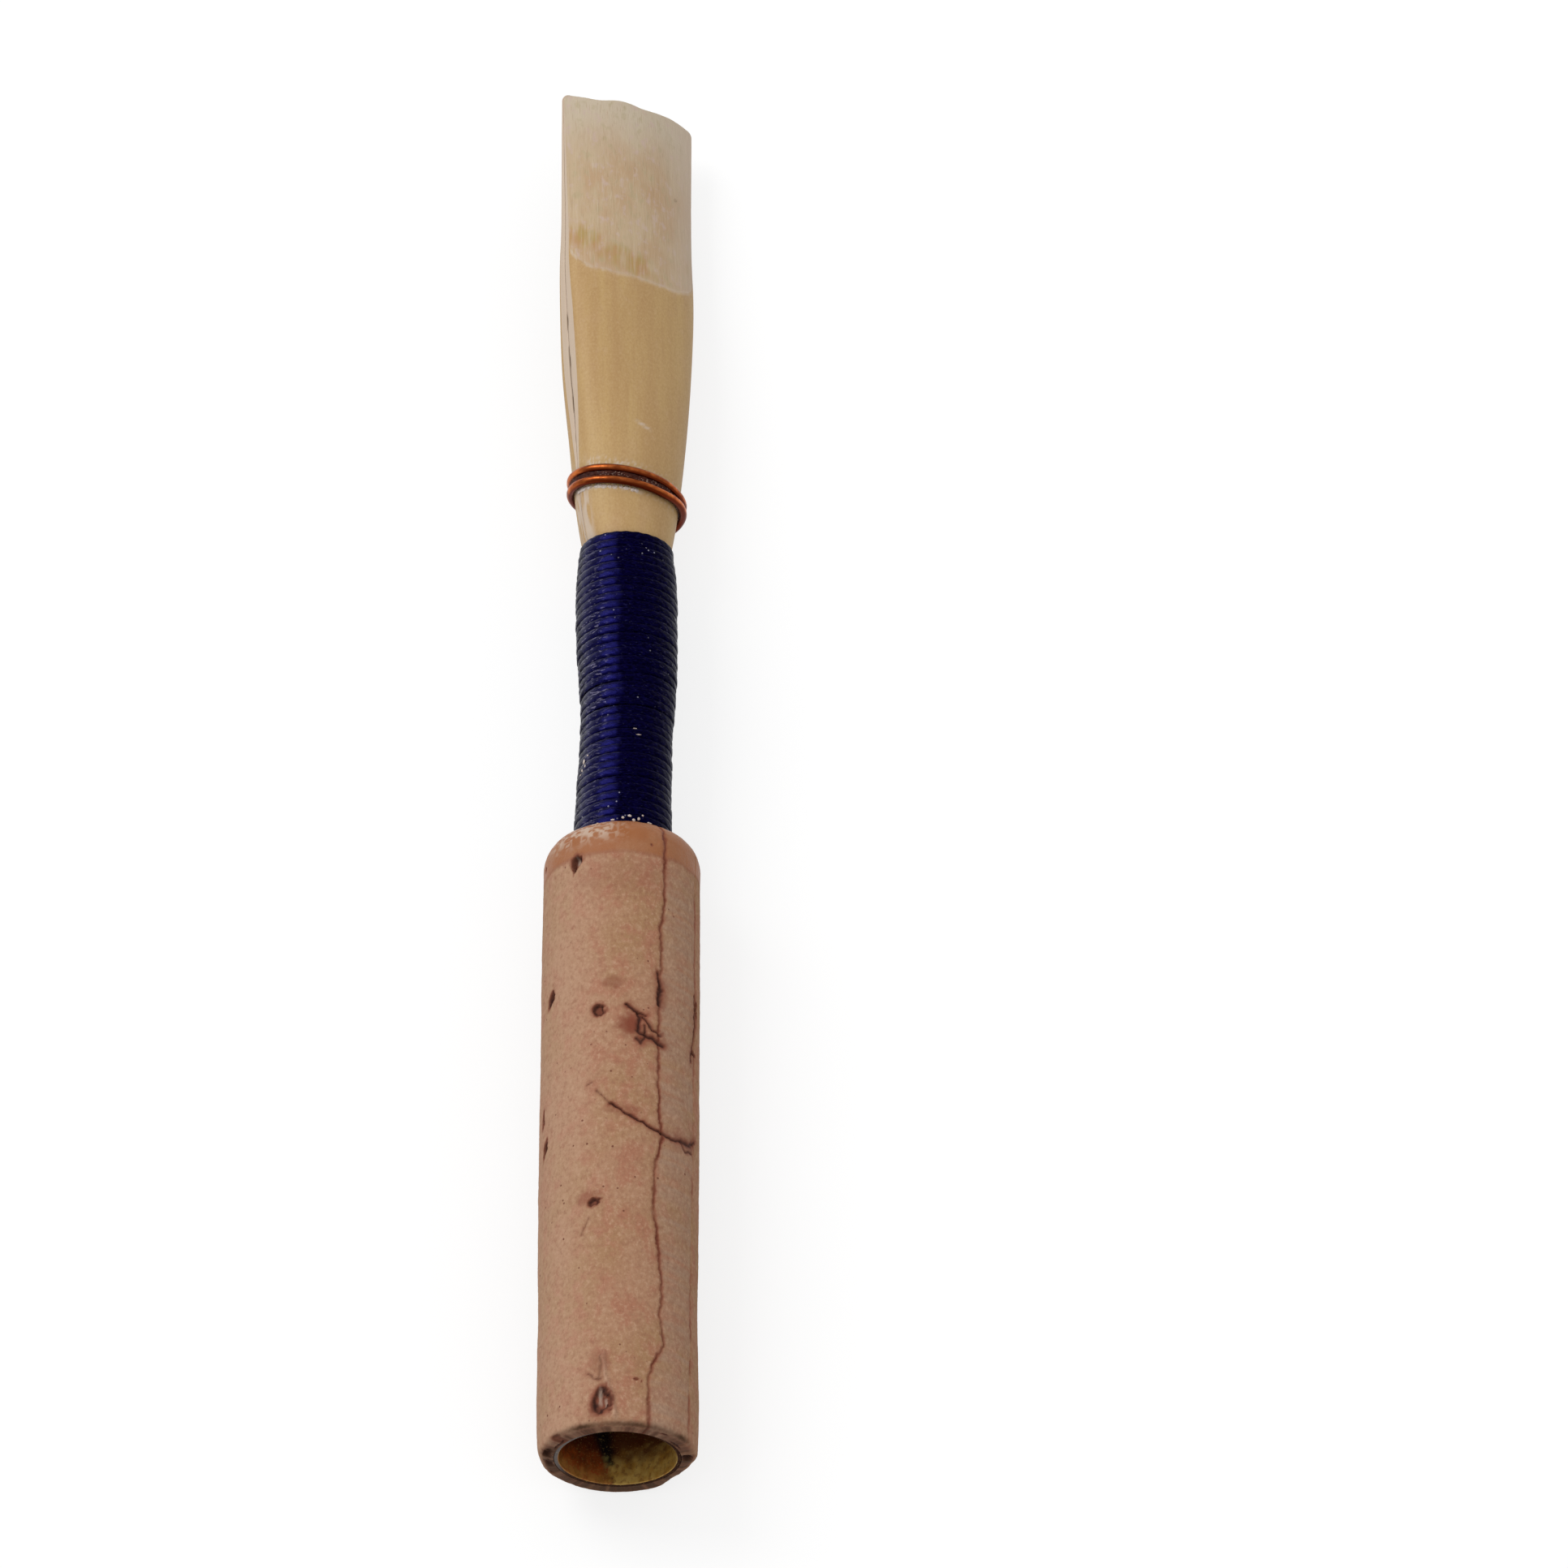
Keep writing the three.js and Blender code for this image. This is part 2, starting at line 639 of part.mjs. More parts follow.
const materials = {
  brass: new THREE.MeshStandardMaterial({ color: 0x9a7b45, roughness: 0.35, metalness: 1 }),
  cork: new THREE.MeshStandardMaterial({ color: 0xaa8a6e, roughness: 0.9, metalness: 0 }),
  cane: new THREE.MeshStandardMaterial({ color: 0xb79a6c, roughness: 0.55, metalness: 0 }),
  thread: new THREE.MeshStandardMaterial({ color: 0x1a1470, roughness: 0.45, metalness: 0 }),
  wire: new THREE.MeshStandardMaterial({ color: 0xb5632d, roughness: 0.3, metalness: 1 }),
};

const rolled = new THREE.Group();
rolled.rotation.z = rollAngle;

function place(name, geometry, material) {
  const mesh = new THREE.Mesh(geometry, material);
  mesh.name = name;
  rolled.add(mesh);
  return mesh;
}

place('staple_tube', stapleTube(), materials.brass);
place('cork_sleeve', corkSleeve(), materials.cork);
place('front_blade', blade(), materials.cane);
place('rear_blade', blade(), materials.cane).rotation.z = Math.PI;
place('thread_winding', threadWinding(), materials.thread);
place('wire', wire(), materials.wire);

// Laid down: the axis level along Y, the cork's lowest facet on the table, the length centred
const reed = new THREE.Group();
reed.add(rolled);
reed.rotation.x = -quarterTurn;
reed.position.set(0, -reedLength / 2, corkRadius * Math.cos(Math.PI / corkSides));

export default reed;
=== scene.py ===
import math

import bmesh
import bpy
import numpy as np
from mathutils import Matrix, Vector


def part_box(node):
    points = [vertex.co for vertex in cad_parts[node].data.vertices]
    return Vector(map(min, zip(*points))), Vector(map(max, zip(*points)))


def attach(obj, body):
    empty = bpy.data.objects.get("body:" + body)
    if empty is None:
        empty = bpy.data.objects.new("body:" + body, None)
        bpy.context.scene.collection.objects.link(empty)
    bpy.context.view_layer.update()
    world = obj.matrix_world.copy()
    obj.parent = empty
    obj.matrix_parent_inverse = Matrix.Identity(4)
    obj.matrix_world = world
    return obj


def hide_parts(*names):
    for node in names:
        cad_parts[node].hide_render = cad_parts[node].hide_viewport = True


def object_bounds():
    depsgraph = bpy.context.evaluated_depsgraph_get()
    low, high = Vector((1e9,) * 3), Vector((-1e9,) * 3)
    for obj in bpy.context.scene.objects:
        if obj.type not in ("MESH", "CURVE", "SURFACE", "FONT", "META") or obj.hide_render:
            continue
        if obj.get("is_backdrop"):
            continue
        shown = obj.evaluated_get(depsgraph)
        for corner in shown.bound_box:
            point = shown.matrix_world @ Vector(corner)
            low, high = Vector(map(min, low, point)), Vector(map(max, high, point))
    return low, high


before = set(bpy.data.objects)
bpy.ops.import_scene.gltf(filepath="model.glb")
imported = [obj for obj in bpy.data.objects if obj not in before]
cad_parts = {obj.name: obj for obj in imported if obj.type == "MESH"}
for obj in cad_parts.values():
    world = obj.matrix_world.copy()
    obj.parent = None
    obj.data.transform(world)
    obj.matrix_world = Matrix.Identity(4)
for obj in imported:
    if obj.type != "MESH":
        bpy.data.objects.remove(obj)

# The looks of an oboe reed: two cane blades tied on a brass staple with blue nylon thread, held
# by a copper wire, with a cork sleeve at the foot.
#
# Sizes are in millimetres until laid() turns them into the row frame's metres. A reed point is
# (x, y, z): z up the reed from the staple's mouth, x across it, the front blade towards -y.
# Marks on the cork are (degrees round it from straight up, height): positive is the right side.

cad_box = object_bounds()

# Lengths up the reed, as in the CAD
STAPLE_LENGTH = 47.0
TIE_LENGTH = 10.4
BLADE_LENGTH = 24.0
SCRAPE_LENGTH = 10.35
REED_LENGTH = STAPLE_LENGTH + BLADE_LENGTH
TAIL_Z = STAPLE_LENGTH - TIE_LENGTH
NECK_Z = STAPLE_LENGTH - 0.8
BULGE_Z = TAIL_Z + 0.667 * (NECK_Z - TAIL_Z)
WIRE_Z = STAPLE_LENGTH + 2.4
SCRAPE_Z = REED_LENGTH - SCRAPE_LENGTH
BELLY_Z = (WIRE_Z + SCRAPE_Z) / 2
ROLL = math.radians(30)

# Staple
MOUTH_RADIUS = 2.85
WAIST_RADIUS = 1.9
TOP_HALF_WIDTH = 1.6
TOP_HALF_DEPTH = 1.2
STAPLE_WALL = 0.2
FIT = 0.03

# Cork
CORK_LENGTH = 31.0
CORK_RADIUS = 3.585
CORK_RIM_RADIUS = 0.25
MOUTH_Z = -0.13
CORK_SHOULDER_LENGTH = 1.4
CORK_TOP_RADIUS = 1.93
CORK_SHOULDER_POWER = 2.25

# Cane
GOUGE = 0.58
SIDE_FLAT = 0.6
SEAM_HALF = 0.02
TIP_CORNER = 0.42
SCRAPE_SIDE_RISE = 1.6
SCRAPE_STEP_RUN = 0.14

# Thread and wire
THREAD_PITCH = 0.42
THREAD_HALF_WIDTH = 0.235
THREAD_HALF_HEIGHT = 0.13
THREAD_BOTTOM_Z = 30.9
THREAD_TOP_Z = 46.9
THREAD_LAY = 1.5
WOUND_RADIUS = 2.1
THREAD_SIDES = 16
THREAD_STEPS = 180
WIRE_RADIUS = 0.19
WIRE_PITCH = 0.62
WIRE_SQUEEZE = 0.32
WIRE_MIDDLE_Z = WIRE_Z + 0.1
WIRE_CLEARANCE = 0.02
WIRE_TILT = 0.15
# The wire's twisted ends: how far they stand out before they fold down, and how far they run
TWIST_STUB = 0.2
FOLD_RADIUS = 0.42
FOLD_ANGLE = math.radians(98)
TWIST_LENGTH = 3.3
TWIST_PITCH = 1.5
STRAND_OFFSET = 0.9 * WIRE_RADIUS
# The lacquer's section: height from the groove's middle and lift from the cane
LACQUER_SECTION = [
    (-0.3, 0.0), (-0.25, 0.15), (-0.12, 0.24), (0, 0.2), (0.12, 0.24), (0.25, 0.15), (0.3, 0.0),
]


def srgb(red, green, blue):
    """A colour given from 0 to 255, as the shader's linear values."""
    shares = np.array([red, green, blue]) / 255
    linear = np.where(shares <= 0.04045, shares / 12.92, ((shares + 0.055) / 1.055) ** 2.4)
    return (*linear.tolist(), 1.0)


def ease(share):
    share = np.clip(share, 0, 1)
    return share * share * (3 - 2 * share)


def ramp(value, low, high):
    return ease((value - low) / (high - low))


def mixed(low, high, share):
    return low + (high - low) * share


def bell(value, width, power=2):
    """1 where a value is zero, falling off to both sides over that width."""
    return np.exp(-(value / width) ** power)


def degrees_from(angle, centre):
    """Angles in degrees counted from a centre, from -180 to 180."""
    return (angle - centre + 180) % 360 - 180


def radians_from(angle, degrees):
    """Angles in radians counted from a place in degrees, from -pi to pi."""
    return np.angle(np.exp(1j * (angle - math.radians(degrees))))


def unit(vectors):
    return vectors / np.linalg.norm(vectors, axis=-1, keepdims=True)


def oval_points(angle, half_width, half_depth, z):
    """Points on an oval round the reed's axis, at angles from its right."""
    return np.stack([half_width * np.cos(angle), half_depth * np.sin(angle), z + 0 * angle], -1)


def oval_outward(angle, half_width, half_depth):
    """The directions that stand square on an oval."""
    return unit(oval_points(angle, 1 / half_width, 1 / half_depth, 0))


def curve_through(stations):
    """A smooth curve through (place, size) stations, as a function of places."""
    places, sizes = np.array(stations, float).T
    before = np.maximum(np.arange(len(places)) - 1, 0)
    after = np.minimum(np.arange(len(places)) + 1, len(places) - 1)
    slopes = (sizes[after] - sizes[before]) / (places[after] - places[before])

    def at(place):
        i = np.clip(np.searchsorted(places, place, side="right") - 1, 0, len(places) - 2)
        run = places[i + 1] - places[i]
        t = np.clip((place - places[i]) / run, 0, 1)
        leave = t * (1 - t) ** 2 * run * slopes[i]
        arrive = t * t * (1 - t) * run * slopes[i + 1]
        return mixed(sizes[i], sizes[i + 1], ease(t)) + leave - arrive

    return at


def lattice_noise(seed, u, v, wide, high):
    """Smooth noise from -1 to 1. u and v run from 0 to 1, and u closes on itself."""
    grid = np.random.default_rng(seed).uniform(-1, 1, (high + 2, wide))
    x = np.asarray(u) * wide
    y = np.clip(v, 0, 1) * high
    i = np.floor(x).astype(int)
    j = np.floor(y).astype(int)
    s = ease(x - i)
    low = mixed(grid[j, i % wide], grid[j, (i + 1) % wide], s)
    top = mixed(grid[j + 1, i % wide], grid[j + 1, (i + 1) % wide], s)
    return mixed(low, top, ease(y - j))


# Where the reed lies: its mouth and the height of its axis come from the staple's box
staple_low, staple_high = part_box("staple_tube")
MOUTH_Y = staple_low.y
AXIS_HEIGHT = (staple_low.z + staple_high.z) / 2

# How far the real reed's middle line strays to the right, up its height
bow_at = curve_through([
    (0, -0.02), (8, -0.06), (20, -0.025), (29, 0), (33.5, 0.06), (36, 0.14), (38.8, 0.22),
    (42.3, 0.15), (47, 0.11), (52, 0.11), (56, 0.06), (60, 0.05), (67, 0), (71, 0),
])


def laid(points, roll=ROLL):
    """Reed points in millimetres as points of the row frame in metres."""
    x, y, z = np.moveaxis(np.asarray(points, float), -1, 0)
    across = x * math.cos(roll) - y * math.sin(roll) + bow_at(z)
    down = x * math.sin(roll) + y * math.cos(roll)
    return np.stack([across / 1000, MOUTH_Y + z / 1000, AXIS_HEIGHT - down / 1000], -1)


def around_points(angle, radius, z):
    """Points round the axis, at angles from straight up, in the row frame."""
    x, y, z = np.broadcast_arrays(radius * np.sin(angle), -radius * np.cos(angle), z)
    return laid(np.stack([x, y, z], -1), roll=0)


def grid_faces(rows, columns, wrap_rows=False, wrap_columns=False):
    r = np.arange(rows if wrap_rows else rows - 1)[:, None]
    c = np.arange(columns if wrap_columns else columns - 1)[None, :]
    over = (r + 1) % rows * columns
    here = r * columns
    beside = (c + 1) % columns
    quads = np.stack([here + c, here + beside, over + beside, over + c], -1)
    return quads.reshape(-1, 4).tolist()


def tube_faces(rows, columns):
    """The faces of a tube of closed rings, with both ends shut."""
    faces = grid_faces(rows, columns, wrap_columns=True)
    faces.append(list(range(columns)))
    faces.append([(rows - 1) * columns + i for i in range(columns)])
    return faces


def put_in_scene(name, data):
    made = bpy.data.objects.new(name, data)
    bpy.context.scene.collection.objects.link(made)
    return made


def make_piece(name, points, faces, material, layers=None, crease=40):
    """One closed mesh piece in the row frame, with its layers of numbers for the material."""
    mesh = bpy.data.meshes.new(name)
    mesh.from_pydata(np.asarray(points).reshape(-1, 3).tolist(), [], faces)
    for layer, values in (layers or {}).items():
        attribute = mesh.attributes.new(layer, "FLOAT", "POINT")
        attribute.data.foreach_set("value", np.asarray(values, np.float32).ravel())
    shape = bmesh.new()
    shape.from_mesh(mesh)
    bmesh.ops.recalc_face_normals(shape, faces=shape.faces)
    shape.to_mesh(mesh)
    shape.free()
    mesh.shade_smooth()
    mesh.set_sharp_from_angle(angle=math.radians(crease))
    mesh.materials.append(material)
    piece = put_in_scene(name, mesh)
    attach(piece, "root")
    return piece


class Shader:
    """A material being built: each call adds a node and gives its output."""

    def __init__(self, name):
        self.material = bpy.data.materials.new(name)
        self.material.use_nodes = True
        self.tree = self.material.node_tree
        self.surface = self.tree.nodes["Principled BSDF"]
        self.place = self.node("ShaderNodeTexCoord").outputs["Object"]

    def node(self, kind, inputs=None, **settings):
        made = self.tree.nodes.new(kind)
        for key, value in settings.items():
            setattr(made, key, value)
        for key, value in (inputs or {}).items():
            self.feed(made.inputs[key], value)
        return made

    def feed(self, socket, value):
        if isinstance(value, bpy.types.NodeSocket):
            self.tree.links.new(value, socket)
        else:
            socket.default_value = value

    def set(self, **values):
        for key, value in values.items():
            self.feed(self.surface.inputs[key.replace("_", " ")], value)

    def layer(self, name):
        return self.node("ShaderNodeAttribute", attribute_name=name).outputs["Fac"]

    def scaled(self, grain):
        """The place divided by a grain's size in millimetres across, along and up."""
        scale = tuple(1000 / size for size in grain)
        return self.node("ShaderNodeMapping", {"Vector": self.place, "Scale": scale}).outputs[0]

    def noise(self, grain, detail=3.0, roughness=0.55):
        inputs = {"Vector": self.scaled(grain), "Scale": 1.0}
        inputs |= {"Detail": detail, "Roughness": roughness}
        return self.node("ShaderNodeTexNoise", inputs).outputs["Fac"]

    def cells(self, grain):
        inputs = {"Vector": self.scaled(grain), "Scale": 1.0}
        return self.node("ShaderNodeTexVoronoi", inputs).outputs["Distance"]

    def remap(self, value, low, high, to_low=0.0, to_high=1.0):
        inputs = {"Value": value, "From Min": low, "From Max": high}
        inputs |= {"To Min": to_low, "To Max": to_high}
        return self.node("ShaderNodeMapRange", inputs, interpolation_type="SMOOTHSTEP").outputs[0]

    def sum(self, kind, first, second):
        return self.node("ShaderNodeMath", {0: first, 1: second}, operation=kind).outputs[0]

    def mix(self, factor, first, second):
        inputs = {0: factor, 6: first, 7: second}
        return self.node("ShaderNodeMix", inputs, data_type="RGBA").outputs[2]

    def blend(self, value, low, high, first, second):
        """From one colour to another as a value runs from low to high."""
        return self.mix(self.remap(value, low, high), srgb(*first), srgb(*second))

    def coats(self, colour, coats):
        """Colours laid on in turn: each up to a share, as a value runs from low to high."""
        for value, low, high, share, tint in coats:
            colour = self.mix(self.remap(value, low, high, 0, share), colour, srgb(*tint))
        return colour

    def marks(self, colour, tints):
        """Colours laid on in turn where the mesh's layers of that name say."""
        for layer, tint in tints.items():
            colour = self.mix(self.layer(layer), colour, srgb(*tint))
        return colour

    def bump(self, height, strength, depth, under=None):
        """Normals for a height from 0 to 1 that stands that many millimetres deep."""
        inputs = {"Height": height, "Strength": strength, "Distance": depth / 1000}
        if under is not None:
            inputs["Normal"] = under
        return self.node("ShaderNodeBump", inputs).outputs[0]


def cork_material():
    """Sheet cork: pinkish tan, finely mottled, with dark lenticels and a reddish joint line."""
    s = Shader("cork")
    soft = s.noise((2.6, 3.4, 2.6), detail=2)
    blotch = s.noise((0.75, 0.95, 0.75))
    mottle = s.noise((0.3, 0.34, 0.3), roughness=0.6)
    grain = s.noise((0.17, 0.22, 0.17), detail=4, roughness=0.7)
    fine = s.noise((0.06, 0.06, 0.06), detail=2)
    colour = s.blend(soft, 0.35, 0.65, (182, 137, 106), (175, 133, 96))
    colour = s.coats(colour, [(blotch, 0.42, 0.68, 0.85, (178, 120, 93))])
    # pale is painted light on the cork's lit left side, and a painted highlight along the fold's
    # ridge
    colour = s.marks(colour, {"pale": (214, 176, 149), "strip": (178, 142, 117)})
    colour = s.coats(colour, [
        (mottle, 0.52, 0.7, 0.32, (205, 165, 136)),
        (mottle, 0.48, 0.32, 0.34, (160, 108, 82)),
        (grain, 0.5, 0.7, 0.54, (208, 168, 138)),
        (grain, 0.5, 0.3, 0.42, (150, 101, 78)),
    ])
    specks = s.remap(s.cells((0.5, 0.5, 0.5)), 0.14, 0.07)
    rare = s.remap(s.noise((1.1, 1.1, 1.1), detail=1), 0.52, 0.62)
    colour = s.mix(s.sum("MULTIPLY", specks, rare), colour, srgb(122, 74, 54))
    # Among these marks, grime is dirt on the end face, with painted shade darkening its bottom
    colour = s.marks(colour, {
        "varnish": (168, 103, 58), "rust": (134, 66, 44), "grime_and_painted_shade": (80, 51, 29),
        "dark": (58, 26, 17), "glue": (220, 198, 178),
    })
    s.set(Base_Color=colour, Roughness=s.remap(s.layer("varnish"), 0, 1, 0.78, 0.42))
    grain_bump = s.bump(grain, 0.35, 0.06)
    s.set(Specular_IOR_Level=0.3, Normal=s.bump(fine, 0.3, 0.025, under=grain_bump))
    return s.material


def cane_material():
    """Cane: yellow bark with faint streaks, and pale mottled fibres where the knife has cut."""
    s = Shader("cane")
    wide_streak = s.noise((0.8, 9.0, 0.8), detail=2)
    streak = s.noise((0.16, 5.0, 0.16))
    fibre = s.noise((0.07, 1.7, 0.07), roughness=0.6)
    thin_fibre = s.noise((0.045, 1.3, 0.045), detail=2)
    cloud = s.noise((1.6, 2.4, 1.6), detail=2)
    patches = s.noise((0.42, 0.62, 0.42))
    speckle = s.noise((0.09, 0.13, 0.09), detail=2)
    bark = s.blend(wide_streak, 0.3, 0.7, (204, 168, 112), (195, 156, 104))
    bark = s.coats(bark, [
        (streak, 0.52, 0.75, 0.22, (180, 140, 94)),
        (cloud, 0.5, 0.75, 0.35, (205, 167, 124)),
        (patches, 0.55, 0.75, 0.3, (208, 172, 132)),
        (speckle, 0.5, 0.7, 0.3, (214, 182, 136)),
        (speckle, 0.5, 0.3, 0.3, (178, 138, 90)),
    ])
    raw = s.blend(cloud, 0.35, 0.65, (208, 183, 149), (203, 170, 134))
    raw = s.coats(raw, [(streak, 0.5, 0.72, 0.4, (192, 160, 124))])
    raw = s.marks(raw, {"tip": (217, 204, 182)})
    raw = s.coats(raw, [
        (patches, 0.54, 0.7, 0.7, (214, 188, 175)),
        (patches, 0.46, 0.3, 0.5, (190, 174, 136)),
        (fibre, 0.5, 0.7, 0.4, (220, 201, 173)),
        (thin_fibre, 0.56, 0.74, 0.5, (180, 149, 114)),
    ])
    under_bark = s.sum("MULTIPLY", s.layer("under_bark"), s.remap(streak, 0.36, 0.56, 0.2, 0.85))
    raw = s.mix(under_bark, raw, s.blend(patches, 0.4, 0.65, (186, 155, 92), (193, 149, 98)))
    # side is the side flats' own pale colour, and on the scrape painted light that makes it paler
    # towards its right
    raw = s.marks(raw, {"side": (226, 205, 184)})
    cut = s.layer("cut")
    # Dark marks: one dot of dirt on the scrape, and painted shade in the worn-open seams
    colour = s.marks(s.mix(cut, bark, raw), {"dust": (222, 204, 186), "dirt_and_painted_seam_shade": (116, 90, 64)})
    depth = s.sum("MULTIPLY", fibre, s.remap(cut, 0, 1, 0.25, 1))
    s.set(Base_Color=colour, Roughness=s.remap(cut, 0, 1, 0.5, 0.8))
    s.set(Specular_IOR_Level=0.35, Normal=s.bump(depth, 0.5, 0.025))
    return s.material


def thread_material():
    """Nylon thread: almost black navy, with a strong blue sheen painted on its left, grey scuffs
    and painted glints at its sides, and stray pale specks.
    """
    s = Shader("thread")
    ply = s.noise((0.2, 0.07, 0.2))
    patches = s.noise((0.8, 0.5, 0.8), detail=2)
    specks = s.remap(s.cells((0.36, 0.36, 0.36)), 0.14, 0.07)
    rare = s.remap(s.noise((1.3, 1.6, 1.3), detail=2), 0.55, 0.62)
    dust = s.sum("MULTIPLY", specks, rare)
    colour = s.blend(ply, 0.4, 0.65, (4, 2, 24), (9, 6, 50))
    flecks = s.noise((0.16, 0.07, 0.16), detail=2)
    colour = s.coats(colour, [(flecks, 0.6, 0.72, 0.6, (40, 40, 76))])
    # Grey on the crests at the sides: partly scuffs, partly painted glints
    scuffs_and_glints = s.remap(s.noise((0.3, 0.1, 0.3), detail=2), 0.57, 0.66)
    scuffs_and_glints = s.sum("MULTIPLY", scuffs_and_glints, s.layer("scuffs_and_painted_glints"))
    colour = s.mix(scuffs_and_glints, colour, srgb(108, 104, 126))
    s.set(Base_Color=s.mix(dust, colour, srgb(150, 148, 160)))
    s.set(Roughness=s.remap(patches, 0.35, 0.65, 0.18, 0.3), Specular_Tint=srgb(74, 74, 252))
    # Painted sheen: the layer sets where the thread reflects strongly, on its left
    s.set(Specular_IOR_Level=s.remap(s.layer("painted_sheen"), 0, 1, 0.02, 0.4))
    s.set(Normal=s.bump(ply, 0.55, 0.025))
    return s.material


def copper_material():
    """Lacquered copper wire: orange on its crest, painted wider on its lit left, with painted
    shade dark brown on its flanks.
    """
    s = Shader("copper")
    drawn = s.noise((0.3, 0.3, 0.3))
    worn = s.noise((1.1, 0.5, 1.1), detail=2)
    colour = s.blend(drawn, 0.35, 0.7, (200, 110, 54), (168, 84, 40))
    colour = s.coats(colour, [(worn, 0.48, 0.62, 0.7, (120, 52, 22))])
    # hollow is painted shade: the flanks, turned away from the crest, are painted dark brown
    colour = s.marks(colour, {"hollow": (94, 33, 12)})
    s.set(Base_Color=colour, Roughness=s.remap(drawn, 0.3, 0.7, 0.26, 0.38))
    s.set(Metallic=1.0, Normal=s.bump(drawn, 0.15, 0.02))
    return s.material


def lacquer_material():
    """Dried lacquer in the groove between the wire's turns, dark brown with pale crumbs."""
    s = Shader("lacquer")
    cloud = s.noise((0.25, 0.12, 0.25))
    crumbs = s.remap(s.noise((0.1, 0.07, 0.1), detail=2), 0.56, 0.66)
    colour = s.blend(cloud, 0.42, 0.62, (56, 19, 13), (78, 36, 24))
    pale = s.sum("MULTIPLY", crumbs, s.layer("crumbly"))
    s.set(Base_Color=s.mix(pale, colour, srgb(172, 144, 128)), Specular_IOR_Level=0.15)
    s.set(Roughness=s.remap(cloud, 0.3, 0.7, 0.35, 0.6), Normal=s.bump(cloud, 0.5, 0.04))
    return s.material


def glue_material():
    """Beads of dried glue, cloudy and pale."""
    s = Shader("glue")
    cloud = s.noise((0.12, 0.12, 0.12), detail=2)
    colour = s.blend(cloud, 0.35, 0.7, (224, 209, 198), (192, 171, 156))
    s.set(Base_Color=colour, Roughness=s.remap(cloud, 0.3, 0.7, 0.25, 0.5))
    return s.material


def brass_material():
    """The staple: dull grey on its rim, with a painted highlight on its bare part, stained brown
    to olive inside, and painted shade deeper in.
    """
    s = Shader("brass")
    cloud = s.noise((0.5, 0.7, 0.5))
    mottle = s.noise((0.22, 0.26, 0.22))
    grain = s.noise((0.09, 0.09, 0.09))
    olive = s.blend(cloud, 0.35, 0.65, (212, 176, 94), (186, 139, 56))
    olive = s.coats(olive, [(mottle, 0.5, 0.66, 0.65, (146, 96, 38))])
    russet = s.blend(cloud, 0.35, 0.65, (174, 84, 24), (124, 60, 16))
    russet = s.coats(russet, [(mottle, 0.52, 0.7, 0.6, (172, 62, 24))])
    colour = s.mix(s.layer("russet"), olive, russet)
    # deep is painted shade, darker deeper into the mouth; stain and moss are real marks
    colour = s.marks(colour, {"deep": (84, 30, 8), "stain": (20, 8, 14), "moss": (176, 164, 92)})
    # The bare part of the rim is glossier and also painted lighter, a painted highlight
    rim = s.mix(s.layer("bare_rim_and_painted_highlight"), srgb(66, 40, 32), srgb(80, 65, 58))
    colour = s.mix(s.layer("rim"), colour, rim)
    colour = s.coats(colour, [(grain, 0.56, 0.72, 0.38, (200, 172, 104))])
    dull = s.sum("MULTIPLY", s.layer("rim"), s.sum("SUBTRACT", 1.0, s.layer("bare_rim_and_painted_highlight")))
    s.set(Base_Color=colour, Metallic=s.remap(s.layer("rim"), 0, 1, 0.35, 0.0))
    s.set(Roughness=s.remap(dull, 0, 1, 0.48, 0.9))
    s.set(Specular_IOR_Level=s.remap(dull, 0, 1, 0.4, 0.05), Normal=s.bump(grain, 0.2, 0.02))
    return s.material


# Marks on the cork

SEAM_LINE = [
    (33, 31.0), (33, 26.5), (30, 25.0), (31, 23.0), (29, 22.0), (29, 18.0), (30, 15.5),
    (33, 14.5), (27, 13.0), (26, 11.0), (30, 9.0), (34, 6.5), (31, 5.5), (35, 4.0), (26, 3.0),
    (22, 2.0), (23, 0.0), (23, -0.2),
]
STRIP_LINE = [(69, 30.0), (68, 22.0), (66, 12.0), (65, 5.0), (61, 2.0), (62, 0.0), (62, -0.2)]
FOLD_LINE = [(-11, 3.7), (-10, 2.7), (-5, 1.2), (-2, 0.4)]
# Cracks: the line, its half width, and how dark it is
CRACKS = [
    ([(-17, 16.6), (-10, 16.1), (-4, 15.75)], 0.03, 0.45),
    ([(-6, 15.85), (1, 15.5), (11, 15.1), (24, 14.8), (33, 14.65)], 0.055, 1.0),
    ([(33, 14.65), (40, 14.45), (50, 14.6), (62, 14.7), (70, 15.1)], 0.1, 0.9),
    ([(50, 14.6), (56, 14.2), (64, 14.4)], 0.05, 0.7),
    ([(4, 20.95), (8, 20.7), (13, 20.55), (18, 20.45)], 0.06, 1.0),
    ([(13, 20.55), (14, 20.1), (13, 19.6), (17, 19.45), (24, 19.35), (32, 19.1)], 0.085, 1.0),
    ([(15, 20.35), (20, 20.1), (24, 19.75), (31, 19.6)], 0.06, 0.9),
    ([(18, 19.9), (19, 19.45), (15, 19.05), (12, 19.2)], 0.07, 0.85),
    ([(28, 22.75), (29, 22.4), (30, 21.9), (29.5, 21.4), (29, 21.1)], 0.09, 0.95),
    ([(68, 22.6), (70, 21.0), (66, 20.2), (62, 19.0)], 0.07, 0.8),
    ([(-12, 3.2), (-12.5, 2.6), (-14, 2.1)], 0.06, 0.32),
    ([(-21, 2.35), (-17, 2.15), (-13, 2.05)], 0.06, 0.45),
    ([(-22, 10.2), (-27, 9.4)], 0.04, 0.3),
    ([(-24, 16.9), (-20, 17.0)], 0.03, 0.4),
]
